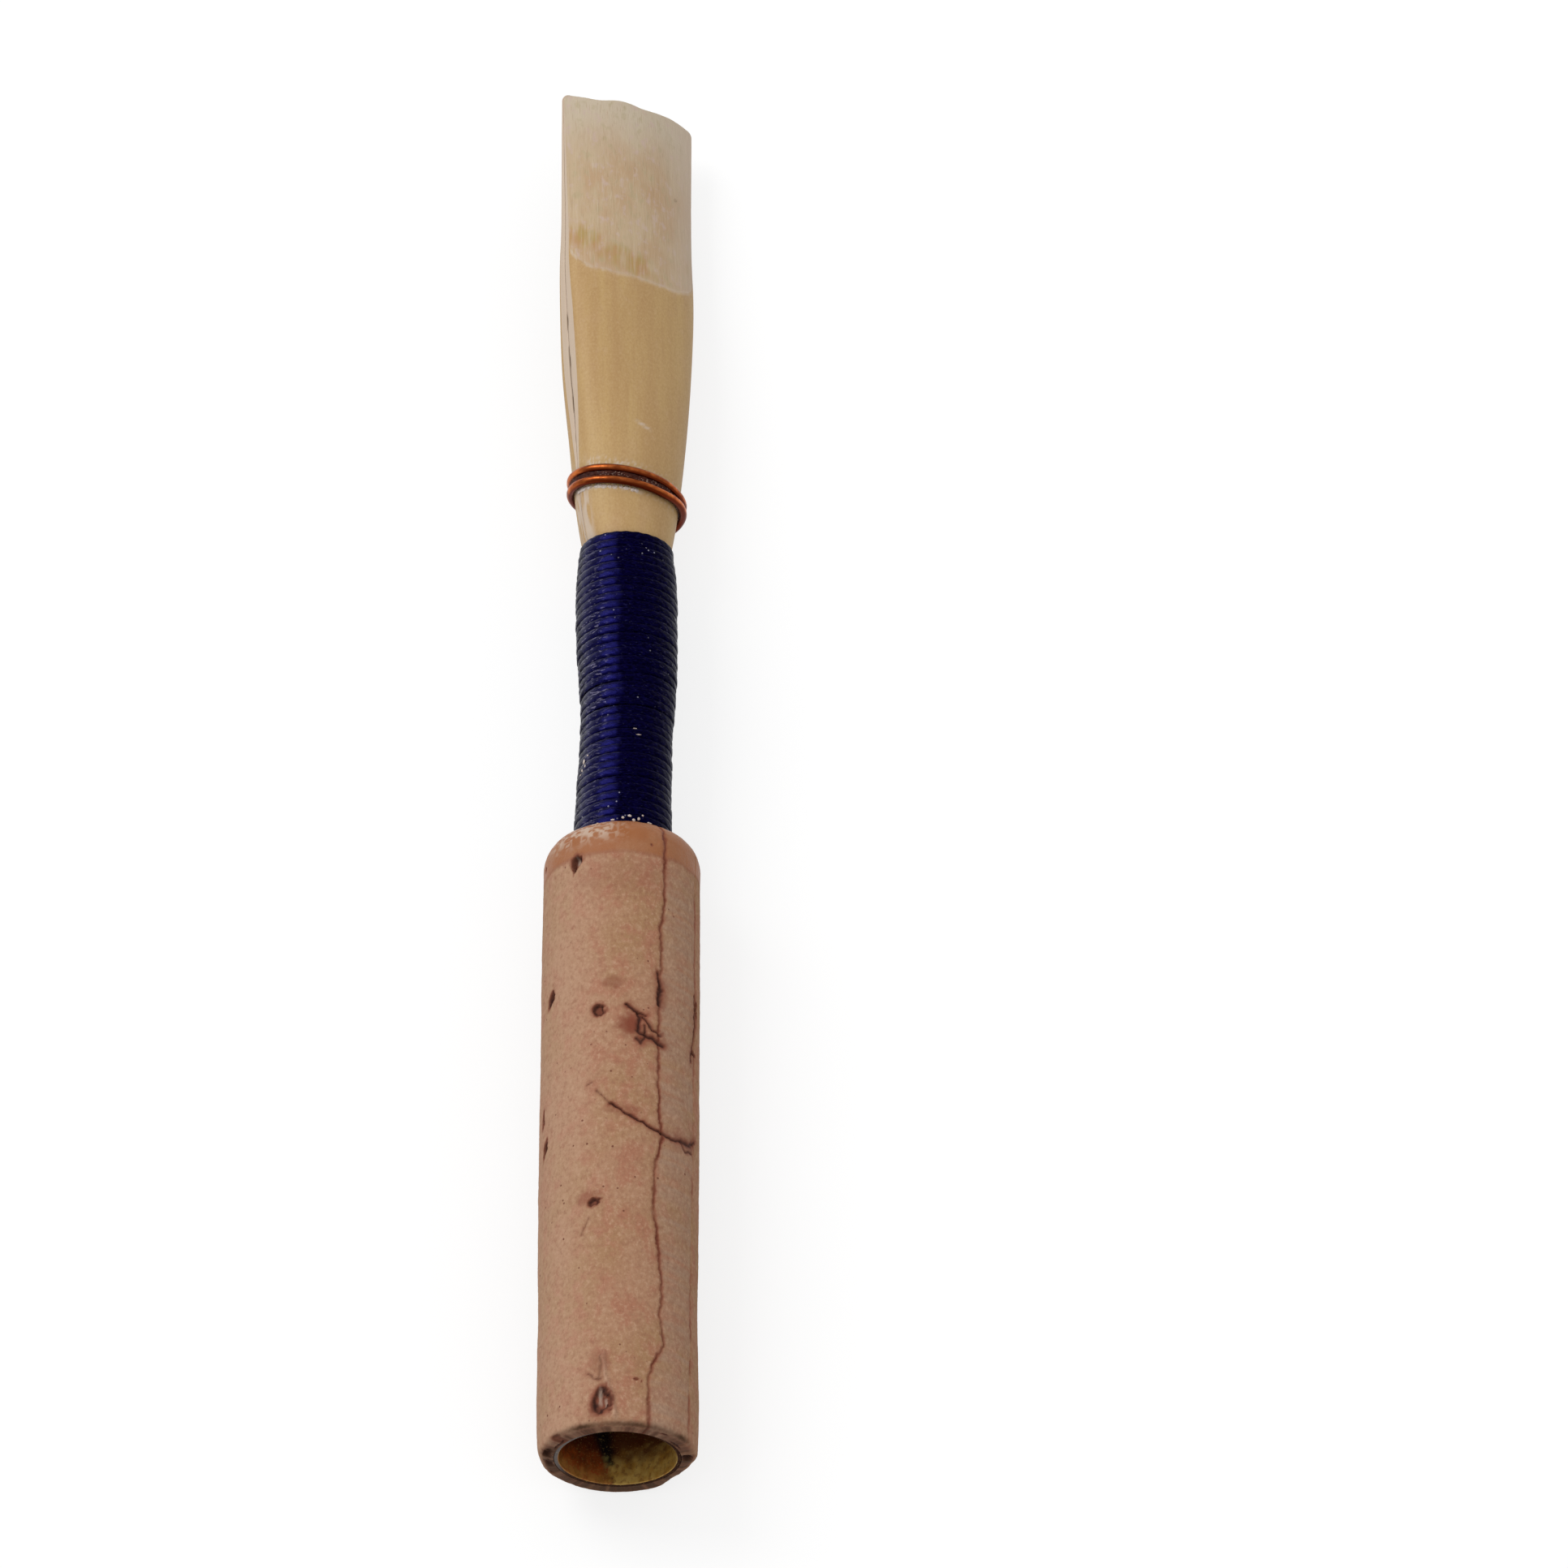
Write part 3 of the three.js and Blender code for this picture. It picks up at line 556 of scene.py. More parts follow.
# Pits: degrees, height, half width, half height, lean, taper, depth
PITS = [
    (-36, 28.5, 0.25, 0.44, 0.22, 0.7, 0.3),
    (-61, 22.1, 0.2, 0.42, 0.4, 0.2, 0.22),
    (-16, 20.7, 0.3, 0.29, 0.0, 0.0, 0.2),
    (-18, 10.95, 0.28, 0.22, 0.2, 0.0, 0.16),
    (-71, 16.2, 0.12, 0.42, 0.1, 0.0, 0.22),
    (-67, 14.6, 0.16, 0.42, 0.3, 0.2, 0.22),
    (-12, 1.1, 0.42, 0.58, 0.1, -0.25, 0.2),
    (67, 19.6, 0.16, 0.15, 0.0, 0.0, 0.2),
    (72, 22.0, 0.12, 0.4, 0.0, 0.0, 0.2),
    (-53, 0.0, 0.25, 0.12, 0.0, 0.0, 0.08),
    (22, 29.3, 0.06, 0.06, 0.0, 0.0, 0.04),
    (13, 2.05, 0.12, 0.07, 0.0, 0.0, 0.05),
    (17, 1.95, 0.05, 0.04, 0.0, 0.0, 0.03),
    (-75, 29.3, 0.12, 0.14, 0.0, 0.0, 0.1),
]
# Stains: degrees, height, half width, half height, strength
STAINS = [
    (-6, 22.1, 0.5, 0.3, 0.5),
    (-3, 21.9, 0.22, 0.3, 0.55),
    (9, 19.9, 0.7, 0.6, 0.95),
    (17, 19.3, 0.5, 0.5, 0.8),
    (-13, 2.9, 0.5, 0.6, 0.4),
    (-22, 11.2, 0.6, 0.4, 0.5),
    (3, 15.55, 0.9, 0.2, 0.45),
    (0, 27.6, 2.4, 1.0, 0.2),
    (48, 14.4, 0.9, 0.35, 0.3),
]
# Pale streaks in two of the pits: degrees, height, half width, half height. The one in the upper
# pit is a painted highlight
PALE_STREAKS = [(-13, 1.3, 0.11, 0.34), (-9, 1.0, 0.06, 0.2), (-35.5, 28.65, 0.09, 0.2)]
# Gouges in the end face: degrees, distance out from the brass, half width and height, depth
GOUGES = [
    (-80, 0.34, 0.6, 0.22, 0.25),
    (-99, 0.24, 0.4, 0.18, 0.15),
    (-116, 0.4, 0.22, 0.1, 0.08),
    (-62, 0.1, 0.5, 0.07, 0.08),
    (89, 0.24, 0.5, 0.26, 0.3),
    (60, 0.12, 0.6, 0.06, 0.06),
    (38, 0.45, 0.3, 0.06, 0.05),
]
# Places where the cork's end is worn off its edge: degrees, half width, depth
WORN_ENDS = [(120, 22, 0.25), (-128, 20, 0.05), (-97, 14, 0.12)]
REAR_PITS = 16
# Painted light: the cork is painted paler on its lit left side, round this place
PAINTED_LIGHT_SIDE = -75


def line_distance(angle, z, line):
    """How far cork points lie from a line of marks, in millimetres over the surface."""
    along = np.radians(angle) * CORK_RADIUS
    nearest = np.full(along.shape, np.inf)
    for (angle_a, z_a), (angle_b, z_b) in zip(line, line[1:]):
        start = np.array([math.radians(angle_a) * CORK_RADIUS, z_a])
        step = np.array([math.radians(angle_b) * CORK_RADIUS, z_b]) - start
        share = ((along - start[0]) * step[0] + (z - start[1]) * step[1]) / (step @ step)
        share = np.clip(share, 0, 1)
        off = np.hypot(along - start[0] - share * step[0], z - start[1] - share * step[1])
        nearest = np.minimum(nearest, off)
    return nearest


def oval_reach(angle, z, centre, half_width, half_height, lean=0.0, taper=0.0):
    """1 on an oval's edge, less inside it. It leans sideways and widens upwards by shares."""
    away = degrees_from(angle, centre[0])
    rise = z - centre[1]
    sideways = np.radians(away) * CORK_RADIUS - lean * rise
    widened = 1 + taper * np.clip(rise / half_height, -1, 1)
    return np.hypot(sideways / (half_width * widened), rise / half_height)


def rear_pits():
    """Lenticels on the side that the photo doesn't show, as any sheet of cork has."""
    rng = np.random.default_rng(11)
    for _ in range(REAR_PITS):
        size = rng.uniform(0.1, 0.3)
        yield (
            rng.uniform(100, 262), rng.uniform(1, 29), size, size * rng.uniform(0.7, 2.2),
            rng.uniform(-0.25, 0.25), rng.uniform(-0.2, 0.2), rng.uniform(0.08, 0.2),
        )


def cork_profile():
    """Rows up the cork's outside from the staple's rim to the thread: radius, height, and the
    radial and upward parts of the way into the cork there."""
    face = [(radius, 0.0, 0.0, 1.0) for radius in np.linspace(2.86, 3.335, 12)]
    turns = np.linspace(0, math.pi / 2, 9)[1:]
    rim_radius = CORK_RADIUS - CORK_RIM_RADIUS + CORK_RIM_RADIUS * np.sin(turns)
    rim_z = CORK_RIM_RADIUS * (1 - np.cos(turns))
    rim = list(zip(rim_radius, rim_z, -np.sin(turns), np.cos(turns)))
    shoulder_z = CORK_LENGTH - CORK_SHOULDER_LENGTH
    wall = [(CORK_RADIUS, z, -1.0, 0.0) for z in np.linspace(CORK_RIM_RADIUS, shoulder_z, 500)[1:]]
    up = 1 - (1 - np.linspace(0, 1, 40)[1:]) ** 1.6
    inset = (1 - up ** CORK_SHOULDER_POWER) ** (1 / CORK_SHOULDER_POWER)
    shoulder_radius = CORK_TOP_RADIUS + (CORK_RADIUS - CORK_TOP_RADIUS) * inset
    shoulder = list(zip(shoulder_radius, shoulder_z + up * CORK_SHOULDER_LENGTH, -inset, -up))
    return np.array(face + rim + wall + shoulder)


girth_at = curve_through([
    (0, 3.57), (2.2, 3.625), (7.1, 3.57), (9.6, 3.6), (14.5, 3.62), (19.5, 3.6), (24.5, 3.6),
    (27, 3.585), (29.6, 3.58), (31, 3.57),
])


def cork_sleeve(material):
    angle = np.concatenate([np.arange(-100, 100, 0.8), np.arange(100, 260, 1.25)])
    profile = cork_profile()
    gaps = np.hypot(*np.diff(profile[:, :2], axis=0).T)
    along = np.concatenate([[0], np.cumsum(gaps)])
    angle, z = np.meshgrid(angle, profile[:, 1])
    radius, _, inward, upward = (np.broadcast_to(column[:, None], z.shape) for column in profile.T)
    along = np.broadcast_to(along[:, None], z.shape)
    u = (angle % 360) / 360
    v = z / CORK_LENGTH
    wobble = lattice_noise(3, u, v, 90, 130)
    fine = lattice_noise(4, u, v, 230, 330)
    angle_near = angle + 0.9 * wobble + 0.5 * fine
    z_near = z + 0.05 * lattice_noise(5, u, v, 120, 160)

    sunk = 0.012 * lattice_noise(6, u, v, 14, 24) + 0.006 * lattice_noise(7, u, v, 60, 90)
    sunk = sunk + 0.006 * fine
    dark = np.zeros(z.shape)
    rust = np.zeros(z.shape)

    seam = line_distance(angle_near, z_near, SEAM_LINE)
    seam_strength = 0.85 + 0.3 * lattice_noise(8, u, v, 8, 50)
    sunk = sunk + 0.06 * bell(seam, 0.07)
    rust = np.maximum(rust, bell(seam, 0.11) * seam_strength)
    dark = np.maximum(dark, 0.28 * bell(seam, 0.05) * (seam_strength - 0.55) / 0.4)

    strip_edge = line_distance(angle_near, z_near, STRIP_LINE)
    strip_strength = ramp(lattice_noise(14, u, v, 8, 34), -0.5, 0.6)
    rust = np.maximum(rust, 0.75 * bell(strip_edge, 0.1) * strip_strength)
    sunk = sunk + 0.03 * bell(strip_edge, 0.06)

    for crack, half_width, darkness in CRACKS:
        off = line_distance(angle_near, z_near, crack)
        width = half_width * (1 + 0.45 * lattice_noise(9, u, v, 40, 60))
        sunk = sunk + 0.1 * darkness * bell(off, width)
        dark = np.maximum(dark, darkness * bell(off, width))
        halo = bell(off, 2.6 * width + 0.03)
        rust = np.maximum(rust, 0.95 * darkness * halo)

    for degrees, height, half_width, half_height, lean, taper, depth in [*PITS, *rear_pits()]:
        sizes = (half_width, half_height, lean, taper)
        reach = oval_reach(angle_near, z_near, (degrees, height), *sizes)
        reach = reach + 0.12 * wobble + 0.14 * fine
        sunk = sunk + depth * ramp(reach, 1.1, 0.6)
        edge = 0.22 + 0.78 * ramp(reach + 0.25 * wobble, 0.3, 0.8)
        strength = np.clip(depth / 0.2, 0.4, 1) * (0.85 + 0.4 * fine)
        dark = np.maximum(dark, ramp(reach, 1.15, 0.8) * edge * strength)
        rust = np.maximum(rust, 0.85 * ramp(reach, 1.65, 0.95))

    for degrees, height, half_width, half_height, strength in STAINS:
        reach = oval_reach(angle_near, z_near, (degrees, height), half_width, half_height)
        rust = np.maximum(rust, strength * ramp(reach + 0.22 * wobble, 1.4, 0.4))

    # A raised fold, with a painted highlight along its ridge
    fold = bell(line_distance(angle_near, z_near, FOLD_LINE), 0.11) * ramp(z, 3.9, 2.9)
    sunk = sunk - 0.15 * fold

    # The end: a dirty face with painted shade that darkens it towards the bottom, its gouges, and
    # an edge that is worn off on the right below
    on_face = ramp(along, 0.75, 0.35)
    # Painted shade: the end face's grime is painted darker towards its bottom
    below = (1 - np.cos(np.radians(angle))) / 2
    grime_and_painted_shade = on_face * (mixed(0.5, 0.85, below) + 0.3 * wobble + 0.2 * fine)
    rust = np.maximum(rust, on_face * (0.45 + 0.35 * wobble))
    for degrees, out, half_width, half_height, depth in GOUGES:
        reach = oval_reach(angle + 2 * wobble, along, (degrees, out), half_width, half_height)
        reach = reach + 0.3 * fine
        near_end = z < 0.5
        sunk = sunk + depth * ramp(reach, 1.1, 0.5) * near_end
        dark = np.maximum(dark, ramp(reach, 1.1, 0.7) * (0.8 + 0.4 * fine) * near_end)
        rust = np.maximum(rust, 0.7 * ramp(reach, 1.7, 0.9) * near_end)
    for degrees, half_width, depth in WORN_ENDS:
        away = degrees_from(angle, degrees)
        worn = bell(away, half_width, 4) * bell(along - 0.62, 0.3)
        sunk = sunk + depth * worn * (1 + 0.3 * wobble)
    smudge = bell(along - 0.66 - 0.04 * fine, 0.16) * (z < 0.9)
    smudge = smudge * ramp(np.cos(np.radians(angle - 5)), 0.3, 0.7)
    smudge = smudge * (0.78 + 0.3 * lattice_noise(18, u, v, 26, 1))
    grime_and_painted_shade = np.maximum(grime_and_painted_shade, smudge)

    from_seam = angle - np.interp(z, *np.array(SEAM_LINE[::-1]).T[::-1])
    to_strip = np.interp(z, *np.array(STRIP_LINE[::-1]).T[::-1]) - angle
    strip = ramp(from_seam, 0, 1.5) * ramp(to_strip, 0, 2)
    layered = lattice_noise(15, u + 0.004 * z, v, 12, 150)
    strip = strip * (0.55 + 0.45 * layered)
    varnish_edge = 28.85 + 0.12 * lattice_noise(10, u, v, 24, 1)
    varnish = ramp(z, varnish_edge - 0.12, varnish_edge + 0.15)
    varnish = varnish * (0.8 + 0.25 * lattice_noise(16, u, v, 26, 30))
    glue_zone = ramp(z, 29.1, 30.0) * ramp(np.abs(angle + 32), 45, 12)
    from_thread = along[-1] - along
    up = 1 - along / along[-1]
    spots = ramp(lattice_noise(12, u, up, 90, 190) + 0.5 * fine, 0.1, 0.55)
    rings = 1 - np.abs(lattice_noise(17, u, up, 50, 110)) / 0.25
    glue = glue_zone * np.maximum(0.7 * spots, 0.55 * np.clip(rings, 0, 1))
    collar = ramp(lattice_noise(13, u, up, 40, 150) + 0.4 * fine, -0.2, 0.5)
    collar = collar * ramp(from_thread, 0.4, 0.15)
    glue = np.maximum(glue, 0.75 * collar)
    # Pale streaks in the pits, one of them a painted highlight in the upper pit
    for degrees, height, half_width, half_height in PALE_STREAKS:
        reach = oval_reach(angle_near, z_near, (degrees, height), half_width, half_height)
        glue = np.maximum(glue, 0.42 * ramp(reach, 1.4, 0.5))
    rust = np.maximum(rust, 0.3 * bell(z - varnish_edge, 0.12))

    # The cork reaches past the brass: most at the top, where its lip hides the rim
    lip = MOUTH_Z - 0.08 * np.clip(np.cos(np.radians(angle)), 0, 1) ** 0.5
    stretched = z + lip * ramp(z, 2.0, 0.0)
    full = radius + (girth_at(z) - CORK_RADIUS) * ramp(radius, 2.95, CORK_RADIUS)
    held = ramp(along, 0.0, 0.1)
    points = around_points(
        np.radians(angle), full + inward * sunk * held, stretched + upward * sunk * held)
    layers = {"dark": dark, "rust": rust, "strip": strip, "varnish": varnish, "glue": glue}
    layers["grime_and_painted_shade"] = grime_and_painted_shade
    # Painted light: paler on the lit left side of the cork
    from_lit_side = np.abs(degrees_from(angle, PAINTED_LIGHT_SIDE))
    # The fold's ridge gets a painted highlight in the same layer
    layers["pale"] = 0.34 * ramp(from_lit_side, 75, 25) + 0.45 * fold
    layers = {key: np.clip(values, 0, 1) for key, values in layers.items()}
    faces = grid_faces(*z.shape, wrap_rows=True, wrap_columns=True)
    piece = make_piece("cork", points, faces, material, layers)
    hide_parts("cork_sleeve")
    return piece


# Staple

# Where the brazed seam runs, and the part of the rim that is worn bare, glossier and painted
# lighter as a highlight
SEAM_DEGREES = 64
BARE_RIM_HIGHLIGHT_DEGREES = 170
STAPLE_RIM_RADIUS = 0.05


def staple_outside(z):
    """Half width and half depth of the staple's outside."""
    low = mixed(MOUTH_RADIUS, WAIST_RADIUS, np.clip(z / CORK_LENGTH, 0, 1))
    share = np.clip((z - CORK_LENGTH) / (STAPLE_LENGTH - CORK_LENGTH), 0, 1)
    return (
        np.where(z <= CORK_LENGTH, low, mixed(WAIST_RADIUS, TOP_HALF_WIDTH, share)),
        np.where(z <= CORK_LENGTH, low, mixed(WAIST_RADIUS, TOP_HALF_DEPTH, share)),
    )


def staple_tube(material):
    """The tube with its rounded rim, and inside it the brazed seam, years of moisture and painted
    shade deeper in the mouth.
    """
    angle = np.radians(np.arange(0, 360, 2.5))
    rim = STAPLE_RIM_RADIUS
    near = np.linspace(rim, 5, 40)
    far = np.linspace(5, STAPLE_LENGTH, 60)[1:]
    inner_z = np.concatenate([far[::-1], near[::-1]])
    turn = np.linspace(0, math.pi / 2, 5)[1:]
    inner_rim = list(zip(rim * (1 - np.cos(turn)), rim * (1 - np.sin(turn))))
    rows = [(STAPLE_WALL, z) for z in inner_z]
    rows += [(STAPLE_WALL - inward, z) for inward, z in inner_rim]
    rows += [(inward, z) for inward, z in inner_rim[::-1]]
    rows += [(0.0, z) for z in np.concatenate([near, far])]
    wall, z = np.array(rows).T
    half_width, half_depth = staple_outside(z)
    angle, z = np.meshgrid(angle, z)
    wall = np.broadcast_to(wall[:, None], z.shape)
    from_seam = radians_from(angle, SEAM_DEGREES)
    is_inside = wall > STAPLE_WALL * 0.9
    # The brazed seam leans: it is further left the deeper it lies in the mouth
    from_line = from_seam - 0.085 * np.clip(z, 0, 3.2)
    bead = 0.05 * bell(from_line, 0.035) * is_inside
    x = (half_width[:, None] - wall - bead) * np.cos(angle)
    y = (half_depth[:, None] - wall - bead) * np.sin(angle)
    points = laid(np.stack([x, y, z + MOUTH_Z * ramp(z, 2.0, 0.0)], -1))
    u = angle / (2 * math.pi)
    wobble = lattice_noise(21, u, z / STAPLE_LENGTH, 60, 300)
    # Seen into the mouth the seam is at the bottom: russet to its left, olive to its right
    russet = ramp(from_line + 0.08 * wobble, -0.04, 0.05)
    russet = russet * (1 - 0.4 * ramp(z + 0.2 * wobble, 0.8, 0.2))
    stain_half = 0.02 + 0.075 * np.clip(z, 0, 3.2)
    stain_side = bell(from_line + 0.03 * wobble, stain_half, 4)
    stain = stain_side * ramp(z + 0.2 * wobble, 0.6, 1.0)
    seam_dark = 0.6 * bell(from_line + 0.015 * wobble, 0.028)
    seam_dark = seam_dark * ramp(wobble, -0.7, 0.1)
    moss = bell(from_line - 0.05 + 0.06 * wobble, 0.07)
    moss = moss * ramp(z, 0.35, 0.6) * ramp(z, 1.5, 1.1)
    from_bare = radians_from(angle, BARE_RIM_HIGHLIGHT_DEGREES)
    layers = {
        "russet": russet * is_inside,
        "stain": np.maximum(stain, seam_dark) * is_inside,
        # Painted shade: darker the deeper it lies in the mouth
        "deep": 0.95 * ramp(z + 0.35 * wobble, 0.4, 1.9) * is_inside,
        "moss": 0.6 * moss * ramp(wobble, 0.1, 0.5) * is_inside,
        "rim": 1.0 * ~is_inside,
        "bare_rim_and_painted_highlight": bell(from_bare, 0.9, 4),
    }
    faces = grid_faces(*z.shape, wrap_rows=True, wrap_columns=True)
    piece = make_piece("staple", points, faces, material, layers)
    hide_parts("staple_tube")
    return piece


# Cane


def over_staple(z, side, thickness):
    return float(staple_outside(z)[side]) + FIT + thickness


half_width_at = curve_through([
    (TAIL_Z, over_staple(TAIL_Z, 0, 0.06)),
    (BULGE_Z, over_staple(BULGE_Z, 0, 0.32)),
    (NECK_Z, over_staple(NECK_Z, 0, 0.28)),
    (STAPLE_LENGTH, over_staple(STAPLE_LENGTH, 0, 0.55)),
    (WIRE_Z, 2.55),
    (BELLY_Z, 2.98),
    (58.6, 3.225),
    (61.2, 3.365),
    (64, 3.352),
    (REED_LENGTH, 3.5),
])
bark_depth_at = curve_through([
    (TAIL_Z, over_staple(TAIL_Z, 1, 0.06)),
    (BULGE_Z, over_staple(BULGE_Z, 1, 0.49)),
    (NECK_Z, over_staple(NECK_Z, 1, 0.43)),
    (STAPLE_LENGTH, over_staple(STAPLE_LENGTH, 1, 0.57)),
    (WIRE_Z, 1.95),
    (BELLY_Z, 1.93),
    (SCRAPE_Z, 1.7),
    (REED_LENGTH, 0.78 + GOUGE),
])
hollow_depth_at = curve_through([
    (STAPLE_LENGTH, over_staple(STAPLE_LENGTH, 1, 0)),
    (WIRE_Z, 1.95 - GOUGE),
    (BELLY_Z, 1.93 - GOUGE),
    (SCRAPE_Z, 1.7 - GOUGE),
    (REED_LENGTH, 0.78),
])
hollow_width_at = curve_through([
    (STAPLE_LENGTH, over_staple(STAPLE_LENGTH, 0, 0)),
    (WIRE_Z, 2.5 * 0.83),
    (BELLY_Z, 2.93 * 0.88),
    (SCRAPE_Z, 3.17 * 0.92),
    (REED_LENGTH, 3.45 - 0.08),
])
side_flat_at = curve_through([
    (TAIL_Z, SIDE_FLAT * 0.07),
    (STAPLE_LENGTH, SIDE_FLAT * 0.07),
    (WIRE_Z, SIDE_FLAT * 0.12),
    (BELLY_Z, SIDE_FLAT * 0.9),
    (58, SIDE_FLAT * 0.95),
    (62, SIDE_FLAT * 0.66),
    (REED_LENGTH, 0.09),
])
scraped_crown_at = curve_through([(0, GOUGE - 0.1), (0.4, 0.42), (1, 0.1)])
# How far each blade's tip is nibbled back, over the share across it
front_trim_at = curve_through([
    (-1, 0.18), (-0.8, 0.2), (-0.57, 0.26), (-0.4, 0.31), (-0.2, 0.16), (-0.07, 0.17),
    (0.07, 0.26), (0.27, 0.155), (0.5, 0.05), (1, 0.03),
])
rear_trim_at = curve_through([(-1, 0.05), (-0.4, 0.14), (0.1, 0.08), (0.5, 0.17), (1, 0.1)])
# Ochre left by the bark just above the scrape's edge: x, z, half width, half height, strength
UNDER_BARK = [
    (-2.8, 62.6, 0.9, 0.85, 1.0),
    (-1.6, 61.9, 1.0, 0.7, 0.9),
    (-0.4, 61.5, 0.9, 0.7, 1.0),
    (0.9, 61.1, 0.6, 0.35, 0.4),
    (3.0, 62.6, 0.35, 1.0, 0.8),
]
# Heights between which the seam at the blades' sides is worn open, with painted shade darkening
# the opening
WORN_SEAMS = [(51.7, 57.0), (57.5, 58.7)]
WORN_SEAM_WIDTH = 0.022


def scrape_line(share):
    """Height of the scrape's lower edge, over the share across the blade from -1 to 1."""
    ragged = 0.04 * lattice_noise(31, (share + 1) / 2.01, 0 * share, 26, 1)
    rise = SCRAPE_SIDE_RISE * np.abs(share) ** 3 + 0.25 * ramp(share, 0.3, 1)
    return SCRAPE_Z + rise + ragged


def blade_heights(share, tip):
    """Rows of heights up the blade at each share across it, and which of them are scraped."""
    line = scrape_line(share)
    top = tip - TIP_CORNER
    level = np.ones_like(share)
    tie = [z * level for z in np.linspace(TAIL_Z, STAPLE_LENGTH, 30)]
    throat = [z * level for z in np.linspace(STAPLE_LENGTH, WIRE_Z, 26)[1:]]
    back = [mixed(WIRE_Z, line, part) for part in np.linspace(0, 1, 90)[1:]]
    scrape = [mixed(line + SCRAPE_STEP_RUN, top, part) for part in np.linspace(0, 1, 100)]
    turn = np.linspace(0, math.pi / 2, 9)[1:]
    corner = [top + TIP_CORNER * math.sin(angle) for angle in turn]
    bark_rows = len(tie) + len(throat) + len(back)
    rows = np.array(tie + throat + back + scrape + corner)
    is_scraped = np.arange(len(rows))[:, None] >= bark_rows
    return rows, np.broadcast_to(is_scraped, rows.shape)


def blade_section(z, share, is_scraped, tip):
    """Half width and depth, side flat, hollow's half width and depth, roundness, and angle."""
    on_staple = z <= STAPLE_LENGTH
    line = scrape_line(share)
    up = (z - line) / (REED_LENGTH - line)
    over_corner = np.maximum(z - (tip - TIP_CORNER), 0)
    inset = TIP_CORNER - np.sqrt(np.maximum(TIP_CORNER**2 - over_corner**2, 0))
    staple_width, staple_depth = staple_outside(z)
    hollow_depth = np.where(on_staple, staple_depth + FIT, hollow_depth_at(z))
    hollow_width = np.where(on_staple, staple_width + FIT, hollow_width_at(z)) - inset
    depth = np.where(is_scraped, hollow_depth + scraped_crown_at(up), bark_depth_at(z))
    roundness = 1 + ramp(z, BELLY_Z, REED_LENGTH)
    wrap = mixed(math.radians(62), math.pi / 2, np.clip((z - TAIL_Z) / TIE_LENGTH, 0, 1))
    half_width = half_width_at(z) - inset
    return half_width, depth, side_flat_at(z), hollow_width, hollow_depth, roundness, share * wrap


def blade_points(z, share, is_scraped, tip):
    """The blade's outside and inside points in the reed's own frame, y towards the front."""
    width, depth, flat, hollow_width, hollow_depth, roundness, angle = blade_section(
        z, share, is_scraped, tip)
    bend = np.maximum(np.cos(angle), 0) ** roundness
    outside = np.stack([width * np.sin(angle), flat + (depth - flat) * bend, z], -1)
    rise = SEAM_HALF + (hollow_depth - SEAM_HALF) * bend
    inside = np.stack([hollow_width * np.sin(angle), rise, z], -1)
    return outside, inside


